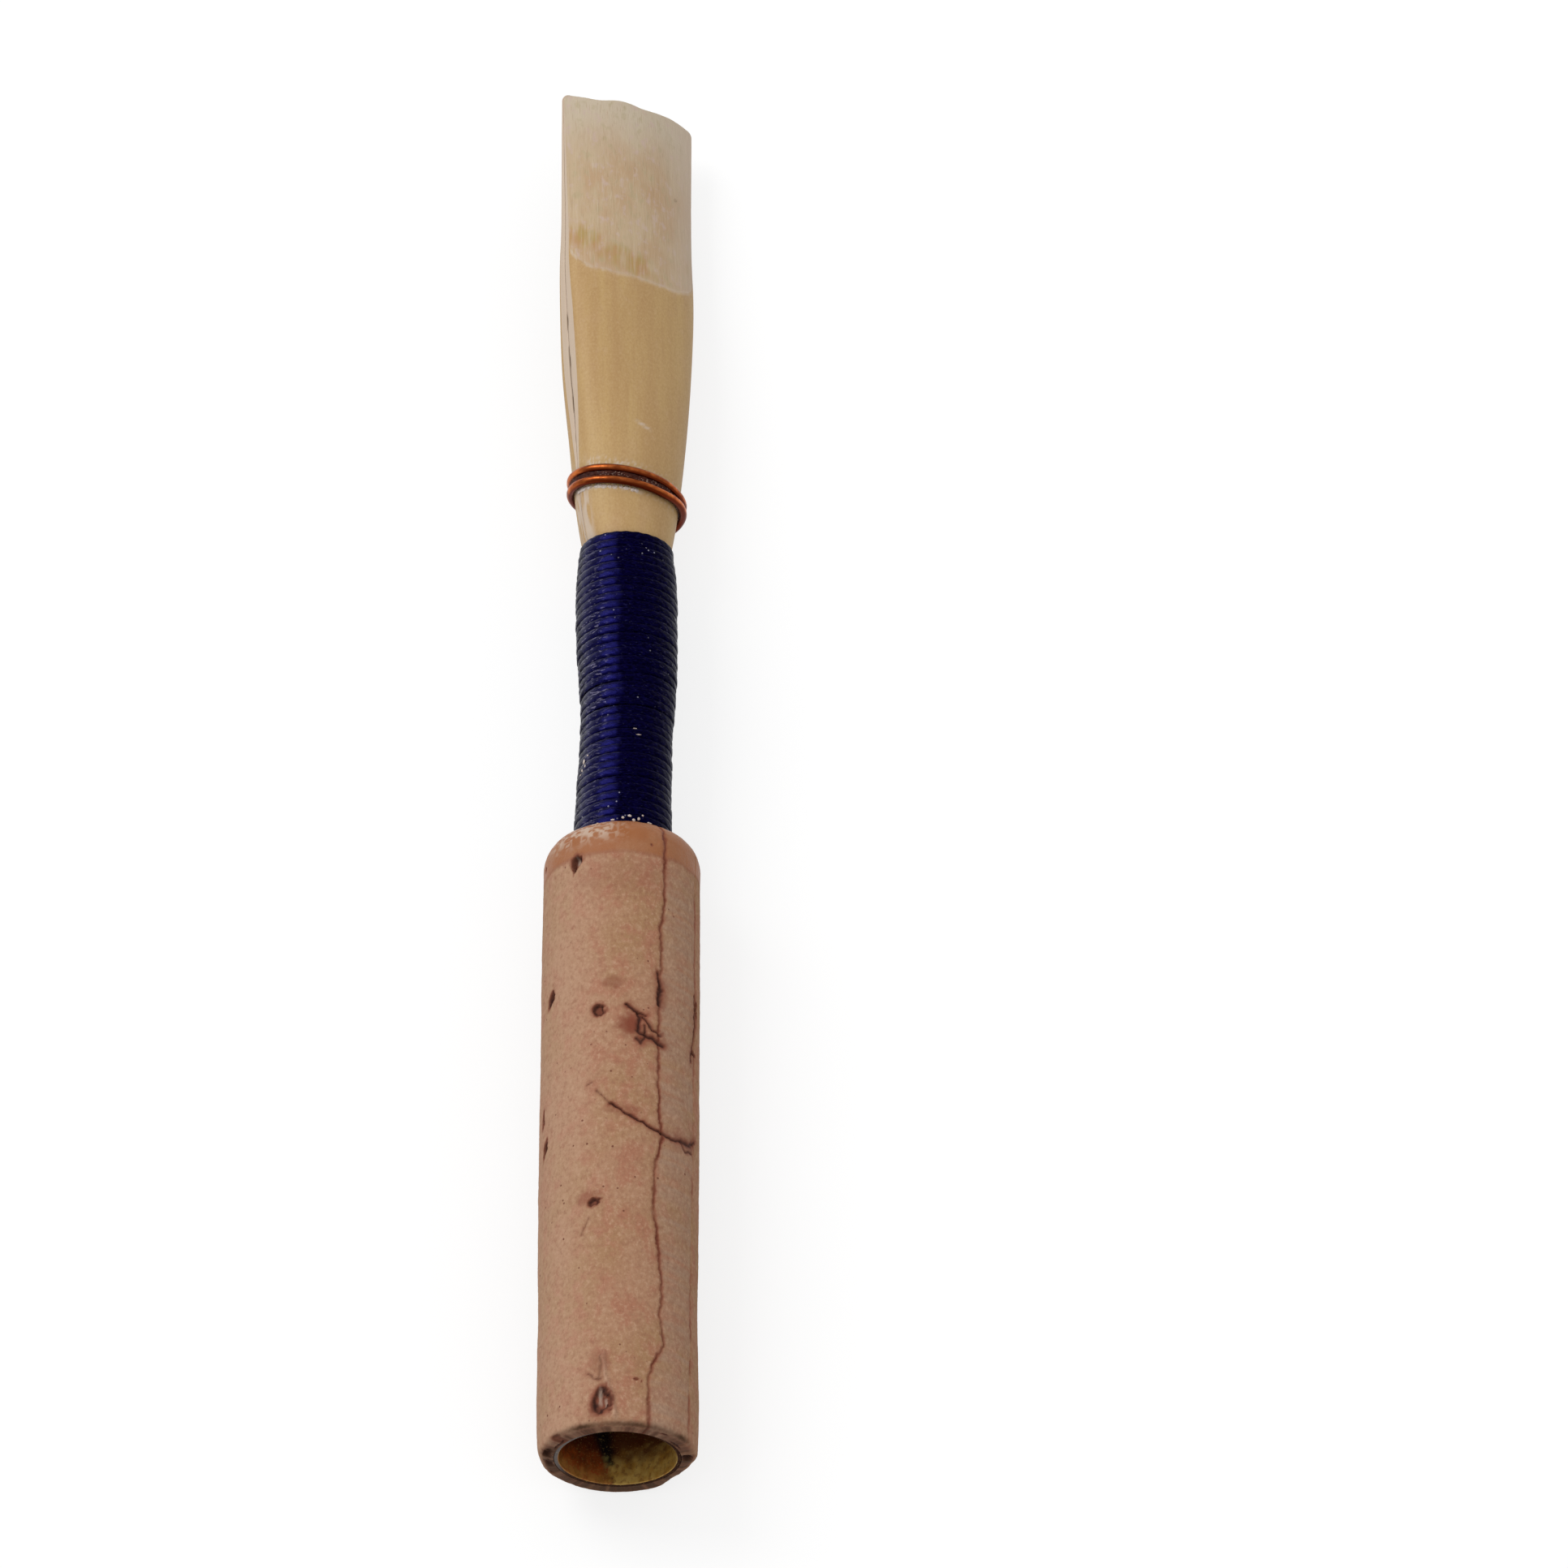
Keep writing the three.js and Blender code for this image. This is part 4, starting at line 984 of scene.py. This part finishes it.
def blade(name, node, turn, seed, trim_at, material):
    """One blade: bark, scrape, side flats and gouged hollow, as rows of closed sections."""
    share = np.sin(np.linspace(-math.pi / 2, math.pi / 2, 91))
    share = mixed(share, np.linspace(-1, 1, 91), 0.6)
    tip = REED_LENGTH - trim_at(share)
    z, is_scraped = blade_heights(share, tip)
    share = np.broadcast_to(share, z.shape)
    outside, inside = blade_points(z, share, is_scraped, tip)
    u = (share + 1) / 2.02
    v = (z - TAIL_Z) / (REED_LENGTH - TAIL_Z)

    fibre = lattice_noise(seed, u, v, 120, 26)
    knife = lattice_noise(seed + 1, u, v, 30, 60)
    outside[..., 1] += np.where(is_scraped, 0.008 * fibre + 0.004 * knife, 0.003 * fibre)
    free = ramp(z, STAPLE_LENGTH, WIRE_Z)
    outside[..., 1] += 0.012 * free * lattice_noise(seed + 2, u, v, 3, 12)

    # The side flats run down to the seam, whose arrises are a little worn in places
    edge_z = z[:, :1]
    worn = ramp(lattice_noise(seed + 3, 0.5 + 0 * edge_z, v[:, :1], 4, 60), -0.7, 0.1)
    open_seam = sum(
        ramp(edge_z, low, low + 0.3) * ramp(edge_z, high, high - 0.3)
        for low, high in WORN_SEAMS)
    worn = WORN_SEAM_WIDTH * worn * open_seam

    def side(edge, sign):
        """Points from the bark's edge down the side flat and in over the land."""
        top = outside[:, edge]
        seam_y = np.minimum(inside[:, edge, 1], SEAM_HALF)
        down = []
        for part in (0.04, 0.3, 0.6, 0.86):
            point = top.copy()
            point[:, 1] = mixed(top[:, 1], seam_y, part)
            down.append(point)
        land = top.copy()
        land[:, 0] -= sign * (0.02 + worn[:, 0])
        land[:, 1] = seam_y
        down[-1][:, 1] = np.maximum(down[-1][:, 1], seam_y + worn[:, 0])
        return [*down, land]

    right = np.stack(side(-1, 1), 1)
    left = np.stack(side(0, -1)[::-1], 1)
    section = np.concatenate([outside, right, inside[:, ::-1], left], 1)
    rows, columns = section.shape[:2]

    above = z - scrape_line(share)
    cut = ramp(above, -0.03, 0.1)
    lip = bell(above - 0.05 - 0.03 * knife, 0.12)
    ragged = lattice_noise(seed + 4, u, v, 44, 70)
    under_bark = ramp(above, 0.1, 0.25) * under_bark_at(share, z, ragged)
    tip = 0.75 * ramp(z, 66.5, 70.5)
    dust = lip * (0.42 + 0.3 * fibre) * ramp(knife, -0.9, 0.2)
    dust = np.maximum(dust, cane_dust(share, z, u, v))

    def whole(values, elsewhere):
        """A layer for the whole section: values on the outside, one number elsewhere."""
        return np.concatenate([values, np.full((rows, columns - values.shape[1]), elsewhere)], 1)

    layers = {
        "cut": whole(cut, 1.0),
        # On the outside this is painted light: the scrape is painted paler towards its right,
        # where it rounds away from the lamp
        "side": whole(0.8 * cut * ramp(share, 0.1, 0.9), 0.8),
        "tip": whole(tip, 0.0),
        "under_bark": whole(under_bark, 0.0),
        "dust": whole(dust, 0.0),
        "dirt_and_painted_seam_shade": whole(cane_dirt(share, z), 0.0),
    }
    # Each side flat gets painted shade at the seam where it is worn open, and is dusty near the
    # wire
    first_side = outside.shape[1]
    painted_seam_shade = worn[:, 0] / WORN_SEAM_WIDTH
    layers["dirt_and_painted_seam_shade"][:, first_side + 4] = painted_seam_shade
    layers["dirt_and_painted_seam_shade"][:, columns - 5] = painted_seam_shade
    crumbs = ramp(lattice_noise(seed + 5, 0.5 + 0 * edge_z, v[:, :1], 4, 90), -0.3, 0.5)
    crumbs = 0.7 * crumbs * ramp(edge_z, 50.2, 49.4)
    layers["dust"][:, first_side:first_side + 4] = crumbs
    layers["dust"][:, columns - 4:] = crumbs

    points = section.copy()
    points[..., 1] = -points[..., 1]
    spun = points @ np.array(Matrix.Rotation(-turn, 3, "Z"))
    faces = grid_faces(rows, columns, wrap_columns=True)
    faces += blade_caps(rows, columns, outside.shape[1])
    piece = make_piece(name, laid(spun), faces, material, layers, crease=50)
    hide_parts(node)
    return piece


def blade_caps(rows, columns, across):
    """The end faces: strips between the outside and the inside of the first and last rows."""
    faces = []
    first_inside = columns - 5 - 1
    for base in (0, (rows - 1) * columns):
        for c in range(across - 1):
            opposite = base + first_inside - c
            faces.append([base + c, base + c + 1, opposite - 1, opposite])
        faces.append([base + across - 1 + i for i in range(7)])
        faces.append([base + (first_inside + i) % columns for i in range(6)] + [base])
    return faces


def across_blade(share, z):
    return half_width_at(z) * np.sin(share * math.pi / 2)


def under_bark_at(share, z, ragged):
    """How strongly the ochre under the bark shows on the scrape."""
    x = across_blade(share, z)
    shown = np.zeros(z.shape)
    for x_middle, z_middle, half_width, half_height, strength in UNDER_BARK:
        reach = np.hypot((x - x_middle) / half_width, (z - z_middle) / half_height)
        shown = np.maximum(shown, strength * ramp(reach + 0.35 * ragged, 1.2, 0.3))
    return shown


def cane_dust(share, z, u, v):
    """Pale dust: a scratch on the front and specks of glue beside the wire."""
    x = across_blade(share, z)
    scratch_z = 52.5 - 0.42 * (x + 0.2)
    on_scratch = bell(z - scratch_z, 0.07) * ramp(np.abs(x + 0.25), 0.55, 0.1)
    speckle = ramp(lattice_noise(41, u, v, 110, 320), 0.0, 0.5)
    from_groove = z - between_turns((share - 1) * math.pi / 2)
    above_wire = ramp(from_groove, 0.35, 0.5) * ramp(from_groove, 1.15, 0.7)
    below_wire = ramp(from_groove, -0.4, -0.5) * ramp(from_groove, -0.75, -0.6)
    on_left = ramp(share, -0.95, -0.8) * ramp(share, 0.0, -0.25)
    on_right = 0.4 * ramp(share, -0.25, 0.0) * ramp(share, 0.75, 0.5)
    near_wire = np.maximum(above_wire, 0.8 * below_wire) * (on_left + on_right)
    near_seam = ramp(np.abs(share), 0.74, 0.88) * ramp(z, 51.2, 49.6)
    near_seam = near_seam * ramp(lattice_noise(42, u, v, 60, 60), -0.6, 0.4)
    return np.maximum(np.maximum(0.8 * on_scratch, 0.8 * near_wire * speckle), 0.75 * near_seam)


def cane_dirt(share, z):
    """One dark dot on the scrape."""
    x = across_blade(share, z)
    return 0.8 * bell(x - 2.15, 0.07) * bell(z - 66.2, 0.07)


# Thread


# Half width of the wound thread's outside, up the reed
winding_width_at = curve_through([
    (30.9, 2.25), (32.1, 2.26), (33, 2.24), (35, 2.19), (36.5, 2.18), (38.1, 2.21), (39, 2.27),
    (39.9, 2.31), (41.6, 2.37), (43.7, 2.39), (45.1, 2.36), (46.15, 2.26), (46.9, 2.24),
])


def under_thread(z):
    """Half width and half depth of what the thread is wound on."""
    width, depth = staple_outside(z)
    on_cane = z >= TAIL_Z
    flatter = np.where(on_cane, half_width_at(z) - bark_depth_at(z), width - depth)
    half_width = winding_width_at(z) - 2 * THREAD_HALF_HEIGHT
    return half_width, half_width - flatter


def thread_winding(material):
    """One nylon thread in touching turns: three twisted plies, laid a little unevenly."""
    turns = (THREAD_TOP_Z - THREAD_BOTTOM_Z - 2 * THREAD_HALF_WIDTH) / THREAD_PITCH
    count = int(turns * THREAD_STEPS)
    turned = np.arange(count) / THREAD_STEPS
    angle = 2 * math.pi * turned + math.pi / 2 - ROLL
    share = turned / turned[-1]
    uneven_rise = lattice_noise(51, 0 * share, share, 4, int(turns * 2.3))
    uneven_stand = lattice_noise(52, 0 * share, share, 4, int(turns * 3.1))
    z = THREAD_BOTTOM_Z + THREAD_HALF_WIDTH + turned * THREAD_PITCH
    z = z + 0.065 * uneven_rise * np.sin(math.pi * share)
    half_width, half_depth = under_thread(z)
    # Both ends dive under their neighbours at the back
    end = ramp(np.minimum(turned, turned[-1] - turned), 0.0, 0.12)
    stand = THREAD_HALF_HEIGHT * mixed(-1.2, 1, end) + 0.03 * uneven_stand
    centre = oval_points(angle, half_width + stand, half_depth + stand, z)
    outward = oval_outward(angle, half_width, half_depth)
    round_thread = np.arange(THREAD_SIDES) / THREAD_SIDES * 2 * math.pi
    length = turned * 2 * math.pi * WOUND_RADIUS
    twist = length / THREAD_LAY * 2 * math.pi
    plies = 1 + 0.045 * np.cos(3 * (round_thread[None, :] + twist[:, None]))
    sine = np.sin(round_thread)
    cosine = np.cos(round_thread)
    along = THREAD_HALF_WIDTH * np.sign(sine) * np.abs(sine) ** 0.75 * plies
    out = THREAD_HALF_HEIGHT * np.sign(cosine) * np.abs(cosine) ** 0.5 * plies
    points = centre[:, None] + outward[:, None] * out[..., None]
    points[..., 2] += along
    faces = tube_faces(count, THREAD_SIDES)
    # Painted sheen: the specular level is painted high on the left and almost none on the right,
    # with a sharp edge where the lamp's reflection ends
    across = np.cos(angle + ROLL)
    uneven_sheen = 0.07 * lattice_noise(54, 0 * share, share, 4, int(turns * 2.7))
    sheen_edge = (across + uneven_sheen)[:, None] - 0.06 * cosine[None, :]
    painted_sheen = ramp(sheen_edge, -0.12, -0.26) * ramp(across, -1.0, -0.75)[:, None]
    # Scuffs and painted glints show on the crests of both sides, most of them half way up
    half_way = mixed(0.45, 1, ramp(np.abs(z - 40), 4.5, 2))
    at_sides = ramp(across, -0.3, -0.55) + 0.25 * ramp(across, 0.5, 0.8)
    scuffs_and_painted_glints = half_way * at_sides
    layers = {
        "painted_sheen": painted_sheen,
        "scuffs_and_painted_glints": scuffs_and_painted_glints[:, None] * ramp(cosine, 0.0, 0.7)[None, :],
    }
    piece = make_piece("thread", laid(points), faces, material, layers, crease=60)
    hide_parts("thread_winding")
    return piece


# Wire

SEAT_WIDTH = float(half_width_at(WIRE_Z))
SEAT_DEPTH = float(bark_depth_at(WIRE_Z))
LEFT_OF_PHOTO = np.array([-math.cos(ROLL), math.sin(ROLL), 0])


def wire_tilt_at(angle):
    """How far the wire hangs lower at an angle: it is up on the left and down on the right."""
    return WIRE_TILT * np.cos(angle + ROLL)


def wire_pitch_at(angle):
    """How far apart the two turns lie at an angle: they close up on the right."""
    return WIRE_PITCH * (1 - WIRE_SQUEEZE * ramp(np.cos(angle + ROLL), 0.7, 1.0))


def wire_place(angle, z, lift):
    outward = oval_outward(angle, SEAT_WIDTH, SEAT_DEPTH)
    on_cane = oval_points(angle, SEAT_WIDTH, SEAT_DEPTH, z)
    return on_cane + outward * (WIRE_RADIUS + WIRE_CLEARANCE + lift)


def wire_path():
    """The wire's middle line: up one twisted end, twice round the cane, down the other end."""
    end_angle = math.asin(STRAND_OFFSET / SEAT_DEPTH)
    start = math.pi / 2 + end_angle
    stop = math.pi / 2 + 4 * math.pi - end_angle
    loops = []
    for angle in np.linspace(start, stop, 240):
        turned = (angle - math.pi / 2) / (2 * math.pi) - 1
        from_end = min(angle - start, stop - angle) / math.radians(50)
        away = float(ramp(from_end, 0, 0.75))
        lifted = 1 - float(ramp(from_end, 0.35, 1))
        pitch = float(wire_pitch_at(angle))
        z = WIRE_MIDDLE_Z - turned * pitch * away - wire_tilt_at(angle)
        loops.append(wire_place(angle, z, (2 * WIRE_RADIUS + WIRE_CLEARANCE) * lifted))
    first_end = [twist_point(s, 1, loops[0]) for s in np.linspace(TWIST_LENGTH, 0.1, 60)]
    last_end = [twist_point(s, -1, loops[0]) for s in np.linspace(0.1, TWIST_LENGTH, 60)]
    return np.array(first_end + loops + last_end)


def twist_point(s, side, base):
    """A point of one strand, a way along the twist: out from the cane, over and down."""
    bend = min(max((s - TWIST_STUB) / FOLD_RADIUS, 0), FOLD_ANGLE)
    past = max(s - TWIST_STUB - FOLD_RADIUS * FOLD_ANGLE, 0)
    heading = np.array([0, math.cos(bend), -math.sin(bend)])
    point = np.array([0, base[1] + min(s, TWIST_STUB), WIRE_MIDDLE_Z])
    point += np.array([0, FOLD_RADIUS * math.sin(bend), -FOLD_RADIUS * (1 - math.cos(bend))])
    point += heading * past
    across = np.array([1.0, 0, 0])
    square = np.cross(heading, across)
    turn = s / TWIST_PITCH * 2 * math.pi
    offset = across * math.cos(turn) + square * math.sin(turn)
    return point - side * offset * STRAND_OFFSET


def smoothed(path, rounds):
    for _ in range(rounds):
        middle = (path[:-2] + 2 * path[1:-1] + path[2:]) / 4
        path = np.concatenate([path[:1], middle, path[-1:]])
    return path


def tube(path, radius, sides):
    """Points and faces of a round tube along a path, with closed ends."""
    ahead = unit(np.gradient(path, axis=0))
    across = np.zeros_like(path)
    across[0] = np.cross(ahead[0], [0.3, 0.5, 0.8])
    for i in range(1, len(path)):
        across[i] = across[i - 1] - ahead[i] * (across[i - 1] @ ahead[i])
    across = unit(across)
    over = np.cross(ahead, across)
    angle = np.arange(sides) / sides * 2 * math.pi
    radius = np.broadcast_to(radius, len(path))[:, None, None]
    spokes = across[:, None] * np.cos(angle)[:, None] + over[:, None] * np.sin(angle)[:, None]
    points = path[:, None] + spokes * radius
    return points, tube_faces(len(path), sides)


def copper_wire(material):
    path = smoothed(wire_path(), 6)
    points, faces = tube(path, WIRE_RADIUS, 24)
    outward = unit(path * np.array([1 / SEAT_WIDTH**2, 1 / SEAT_DEPTH**2, 0]))
    crest = np.sum((points - path[:, None]) * outward[:, None], -1) / WIRE_RADIUS
    # Painted light: the wire's bright crest is painted wider over its lit left side
    painted_light_left = 0.3 * ramp(path @ LEFT_OF_PHOTO / SEAT_WIDTH, 0.6, 0.95)[:, None]
    # Painted shade on the flanks, away from the crest
    layers = {"hollow": ramp(crest, 1.0 - painted_light_left, 0.75 - painted_light_left)}
    piece = make_piece("wire", laid(points), faces, material, layers)
    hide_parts("wire")
    return piece


def between_turns(angle):
    """Height of the groove between the wire's two turns."""
    climb = (angle - math.pi / 2) / (2 * math.pi) % 1 - 0.5
    return WIRE_MIDDLE_Z - climb * wire_pitch_at(angle) - wire_tilt_at(angle)


def wire_lacquer(material):
    """Lacquer that fills the groove between the wire's two turns."""
    angle = np.radians(np.arange(-235, 55, 1.5))
    around = (angle - angle[0]) / (angle[-1] - angle[0])
    outward = oval_outward(angle, SEAT_WIDTH, SEAT_DEPTH)
    rows = []
    crumbly = []
    for i, (offset, lift) in enumerate(LACQUER_SECTION):
        on_cane = oval_points(angle, SEAT_WIDTH, SEAT_DEPTH, between_turns(angle) + offset)
        lumps = 0.03 * lattice_noise(63 + i, 0.5 * around, around, 60, 90)
        rows.append(on_cane + outward * (lift + lumps)[..., None])
        streak = ramp(angle, -2.6, -2.45) * ramp(angle, -1.92, -2.0)
        crumbly.append(0.1 + 0.5 * streak + 0.85 * ramp(angle, -1.88, -1.78))
    points = np.stack(rows, 1)
    faces = tube_faces(len(angle), len(LACQUER_SECTION))
    layers = {"crumbly": np.stack(crumbly, 1)}
    return make_piece("wire_lacquer", laid(points), faces, material, layers)


# Dots of glue on the thread: degrees round from the top, height, half width, half height
GLUE_DOTS = [
    (0, 31.35, 0.07, 0.07),
    (8, 31.45, 0.09, 0.06),
    (13, 31.25, 0.07, 0.07),
    (19, 31.35, 0.06, 0.08),
    (24, 31.55, 0.05, 0.05),
    (33, 31.25, 0.13, 0.05),
    (47, 31.15, 0.12, 0.05),
    (-12, 31.25, 0.09, 0.05),
    (-31, 31.2, 0.08, 0.04),
    (-56, 34.6, 0.05, 0.1),
    (-60, 34.9, 0.07, 0.14),
    (-63, 34.5, 0.06, 0.08),
    (-66, 34.3, 0.05, 0.06),
    (-52, 35.1, 0.06, 0.04),
    (11, 36.1, 0.1, 0.02),
    (16, 35.8, 0.12, 0.02),
]


def dome(centre, outward, half_sizes, seed):
    """A lumpy flat bead on a surface: its points and faces."""
    up = np.array([0.0, 0.0, 1.0])
    side = np.cross(up, outward)
    rows, columns = 7, 12
    polar = np.linspace(0.02, math.pi - 0.02, rows)[:, None]
    turn = (np.arange(columns) / columns * 2 * math.pi)[None, :]
    lumps = 1 + 0.18 * np.random.default_rng(seed).uniform(-1, 1, (rows, columns))
    p = np.sin(polar) * np.cos(turn) * lumps * half_sizes[0]
    q = np.sin(polar) * np.sin(turn) * lumps * half_sizes[1]
    r = np.cos(polar) * lumps * half_sizes[2]
    points = centre + p[..., None] * side + q[..., None] * up + r[..., None] * outward
    return points.reshape(-1, 3), tube_faces(rows, columns)


def glue_beads(material):
    """Dried beads below the wire, between its turns and where the thread meets the cork."""
    rng = np.random.default_rng(61)
    points = []
    faces = []

    def add(centre, outward, half_sizes):
        bead_points, bead_faces = dome(centre, outward, half_sizes, len(points))
        start = sum(len(part) for part in points)
        points.append(bead_points)
        faces.extend([[start + i for i in face] for face in bead_faces])

    front = -math.pi / 2 - ROLL
    for offset in np.linspace(-1.05, 0.3, 14):
        angle = front + offset + rng.uniform(-0.03, 0.03)
        outward = oval_outward(angle, SEAT_WIDTH, SEAT_DEPTH)
        below = wire_pitch_at(angle) / 2 + 0.25
        z = between_turns(angle) - below + rng.uniform(-0.03, 0.02)
        centre = oval_points(angle, half_width_at(z), bark_depth_at(z), z)
        add(centre, outward, (rng.uniform(0.09, 0.2), rng.uniform(0.07, 0.12), 0.07))
    for offset in np.concatenate([rng.uniform(-0.1, 0.2, 4), rng.uniform(0.3, 0.95, 8)]):
        angle = front + offset
        z = between_turns(angle)
        centre = wire_place(angle, z + rng.uniform(-0.05, 0.05), -WIRE_RADIUS + 0.12)
        outward = oval_points(angle, 1, 1, 0)
        add(centre, outward, (rng.uniform(0.05, 0.12), 0.04, 0.035))
    for degrees, z, half_width, half_height in GLUE_DOTS:
        angle = math.radians(degrees - 90) - ROLL
        radius = winding_width_at(z) - 0.02
        outward = oval_points(angle, 1, 1, 0)
        add(outward * radius + np.array([0, 0, z]), outward, (half_width, half_height, 0.04))
    return make_piece("glue_beads", laid(np.concatenate(points)), faces, material)


# The stage, in metres
FLOOR_HALF = 6.0
FLOOR_DROP = 0.0001
FLOOR_TONE = (0.32, 0.32, 0.32, 1)
FLOOR_GLOW = 0.76
WHITE = (1, 1, 1, 1)
DAYLIGHT = 0.62
KEY_PLACE = (-0.358, 0.25, 0.459)
KEY_LEAN = math.radians(-38)
KEY_SIZE = (0.36, 0.35)
KEY_POWER = 1.34
CAMERA_TILT = math.radians(29.48)
CAMERA_LEAN = math.radians(0.38)
CAMERA_BACK = 0.2393
CAMERA_HEIGHT = 0.4841
CAMERA_LENS = 278
CAMERA_SHIFT = 0.103


def white_floor():
    """A pale floor that shows white to the camera and in reflections, and keeps its shadow."""
    s = Shader("floor")
    s.set(Base_Color=FLOOR_TONE, Roughness=1.0, Specular_IOR_Level=0.0, Emission_Color=WHITE)
    path = s.node("ShaderNodeLightPath")
    seen = s.sum("MAXIMUM", path.outputs["Is Camera Ray"], path.outputs["Is Glossy Ray"])
    seen = s.sum("MAXIMUM", seen, path.outputs["Is Transmission Ray"])
    s.set(Emission_Strength=s.sum("MULTIPLY", seen, FLOOR_GLOW))
    mesh = bpy.data.meshes.new("floor")
    corners = [(-1, -1), (1, -1), (1, 1), (-1, 1)]
    mesh.from_pydata([(x * FLOOR_HALF, y * FLOOR_HALF, 0) for x, y in corners], [], [(0, 1, 2, 3)])
    mesh.materials.append(s.material)
    floor = put_in_scene("floor", mesh)
    floor.location.z = -FLOOR_DROP
    floor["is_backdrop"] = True


def area_lamp(name, place, lean, size, power):
    """A rectangular lamp that lies along the reed and leans over by an angle to face it."""
    lamp = bpy.data.lights.new(name, "AREA")
    lamp.shape = "RECTANGLE"
    lamp.size, lamp.size_y = size
    lamp.energy = power
    holder = put_in_scene(name, lamp)
    holder.location = place
    holder.rotation_euler = (0, lean, 0)


def light_scene():
    """Soft daylight from above, with one large lamp on the left."""
    world = bpy.data.worlds.new("daylight")
    world.use_nodes = True
    background = world.node_tree.nodes["Background"]
    background.inputs["Color"].default_value = WHITE
    background.inputs["Strength"].default_value = DAYLIGHT
    bpy.context.scene.world = world
    area_lamp("key", KEY_PLACE, KEY_LEAN, KEY_SIZE, KEY_POWER)


def place_camera():
    """The photo's view: from above the mouth's end, far off, with the reed left of centre."""
    camera = bpy.data.cameras.new("camera")
    camera.sensor_width = 36
    camera.lens = CAMERA_LENS
    camera.shift_x = CAMERA_SHIFT
    camera.clip_start = 0.05
    camera.clip_end = 20
    holder = put_in_scene("camera", camera)
    tilt = Matrix.Rotation(CAMERA_TILT, 3, "X")
    lean = Matrix.Rotation(CAMERA_LEAN, 3, "Z")
    holder.rotation_euler = (tilt @ lean).to_euler()
    holder.location = (0, MOUTH_Y - CAMERA_BACK, AXIS_HEIGHT + CAMERA_HEIGHT)
    bpy.context.scene.camera = holder


cork_sleeve(cork_material())
staple_tube(brass_material())
cane = cane_material()
blade("front_cane", "front_blade", 0.0, 71, front_trim_at, cane)
blade("rear_cane", "rear_blade", math.pi, 81, rear_trim_at, cane)
thread_winding(thread_material())
copper_wire(copper_material())
wire_lacquer(lacquer_material())
glue_beads(glue_material())
white_floor()
light_scene()
place_camera()
bpy.context.scene.view_settings.view_transform = "Standard"

sizes = {"cad": cad_box, "visual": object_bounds()}
{key: [list(corner) for corner in box] for key, box in sizes.items()}
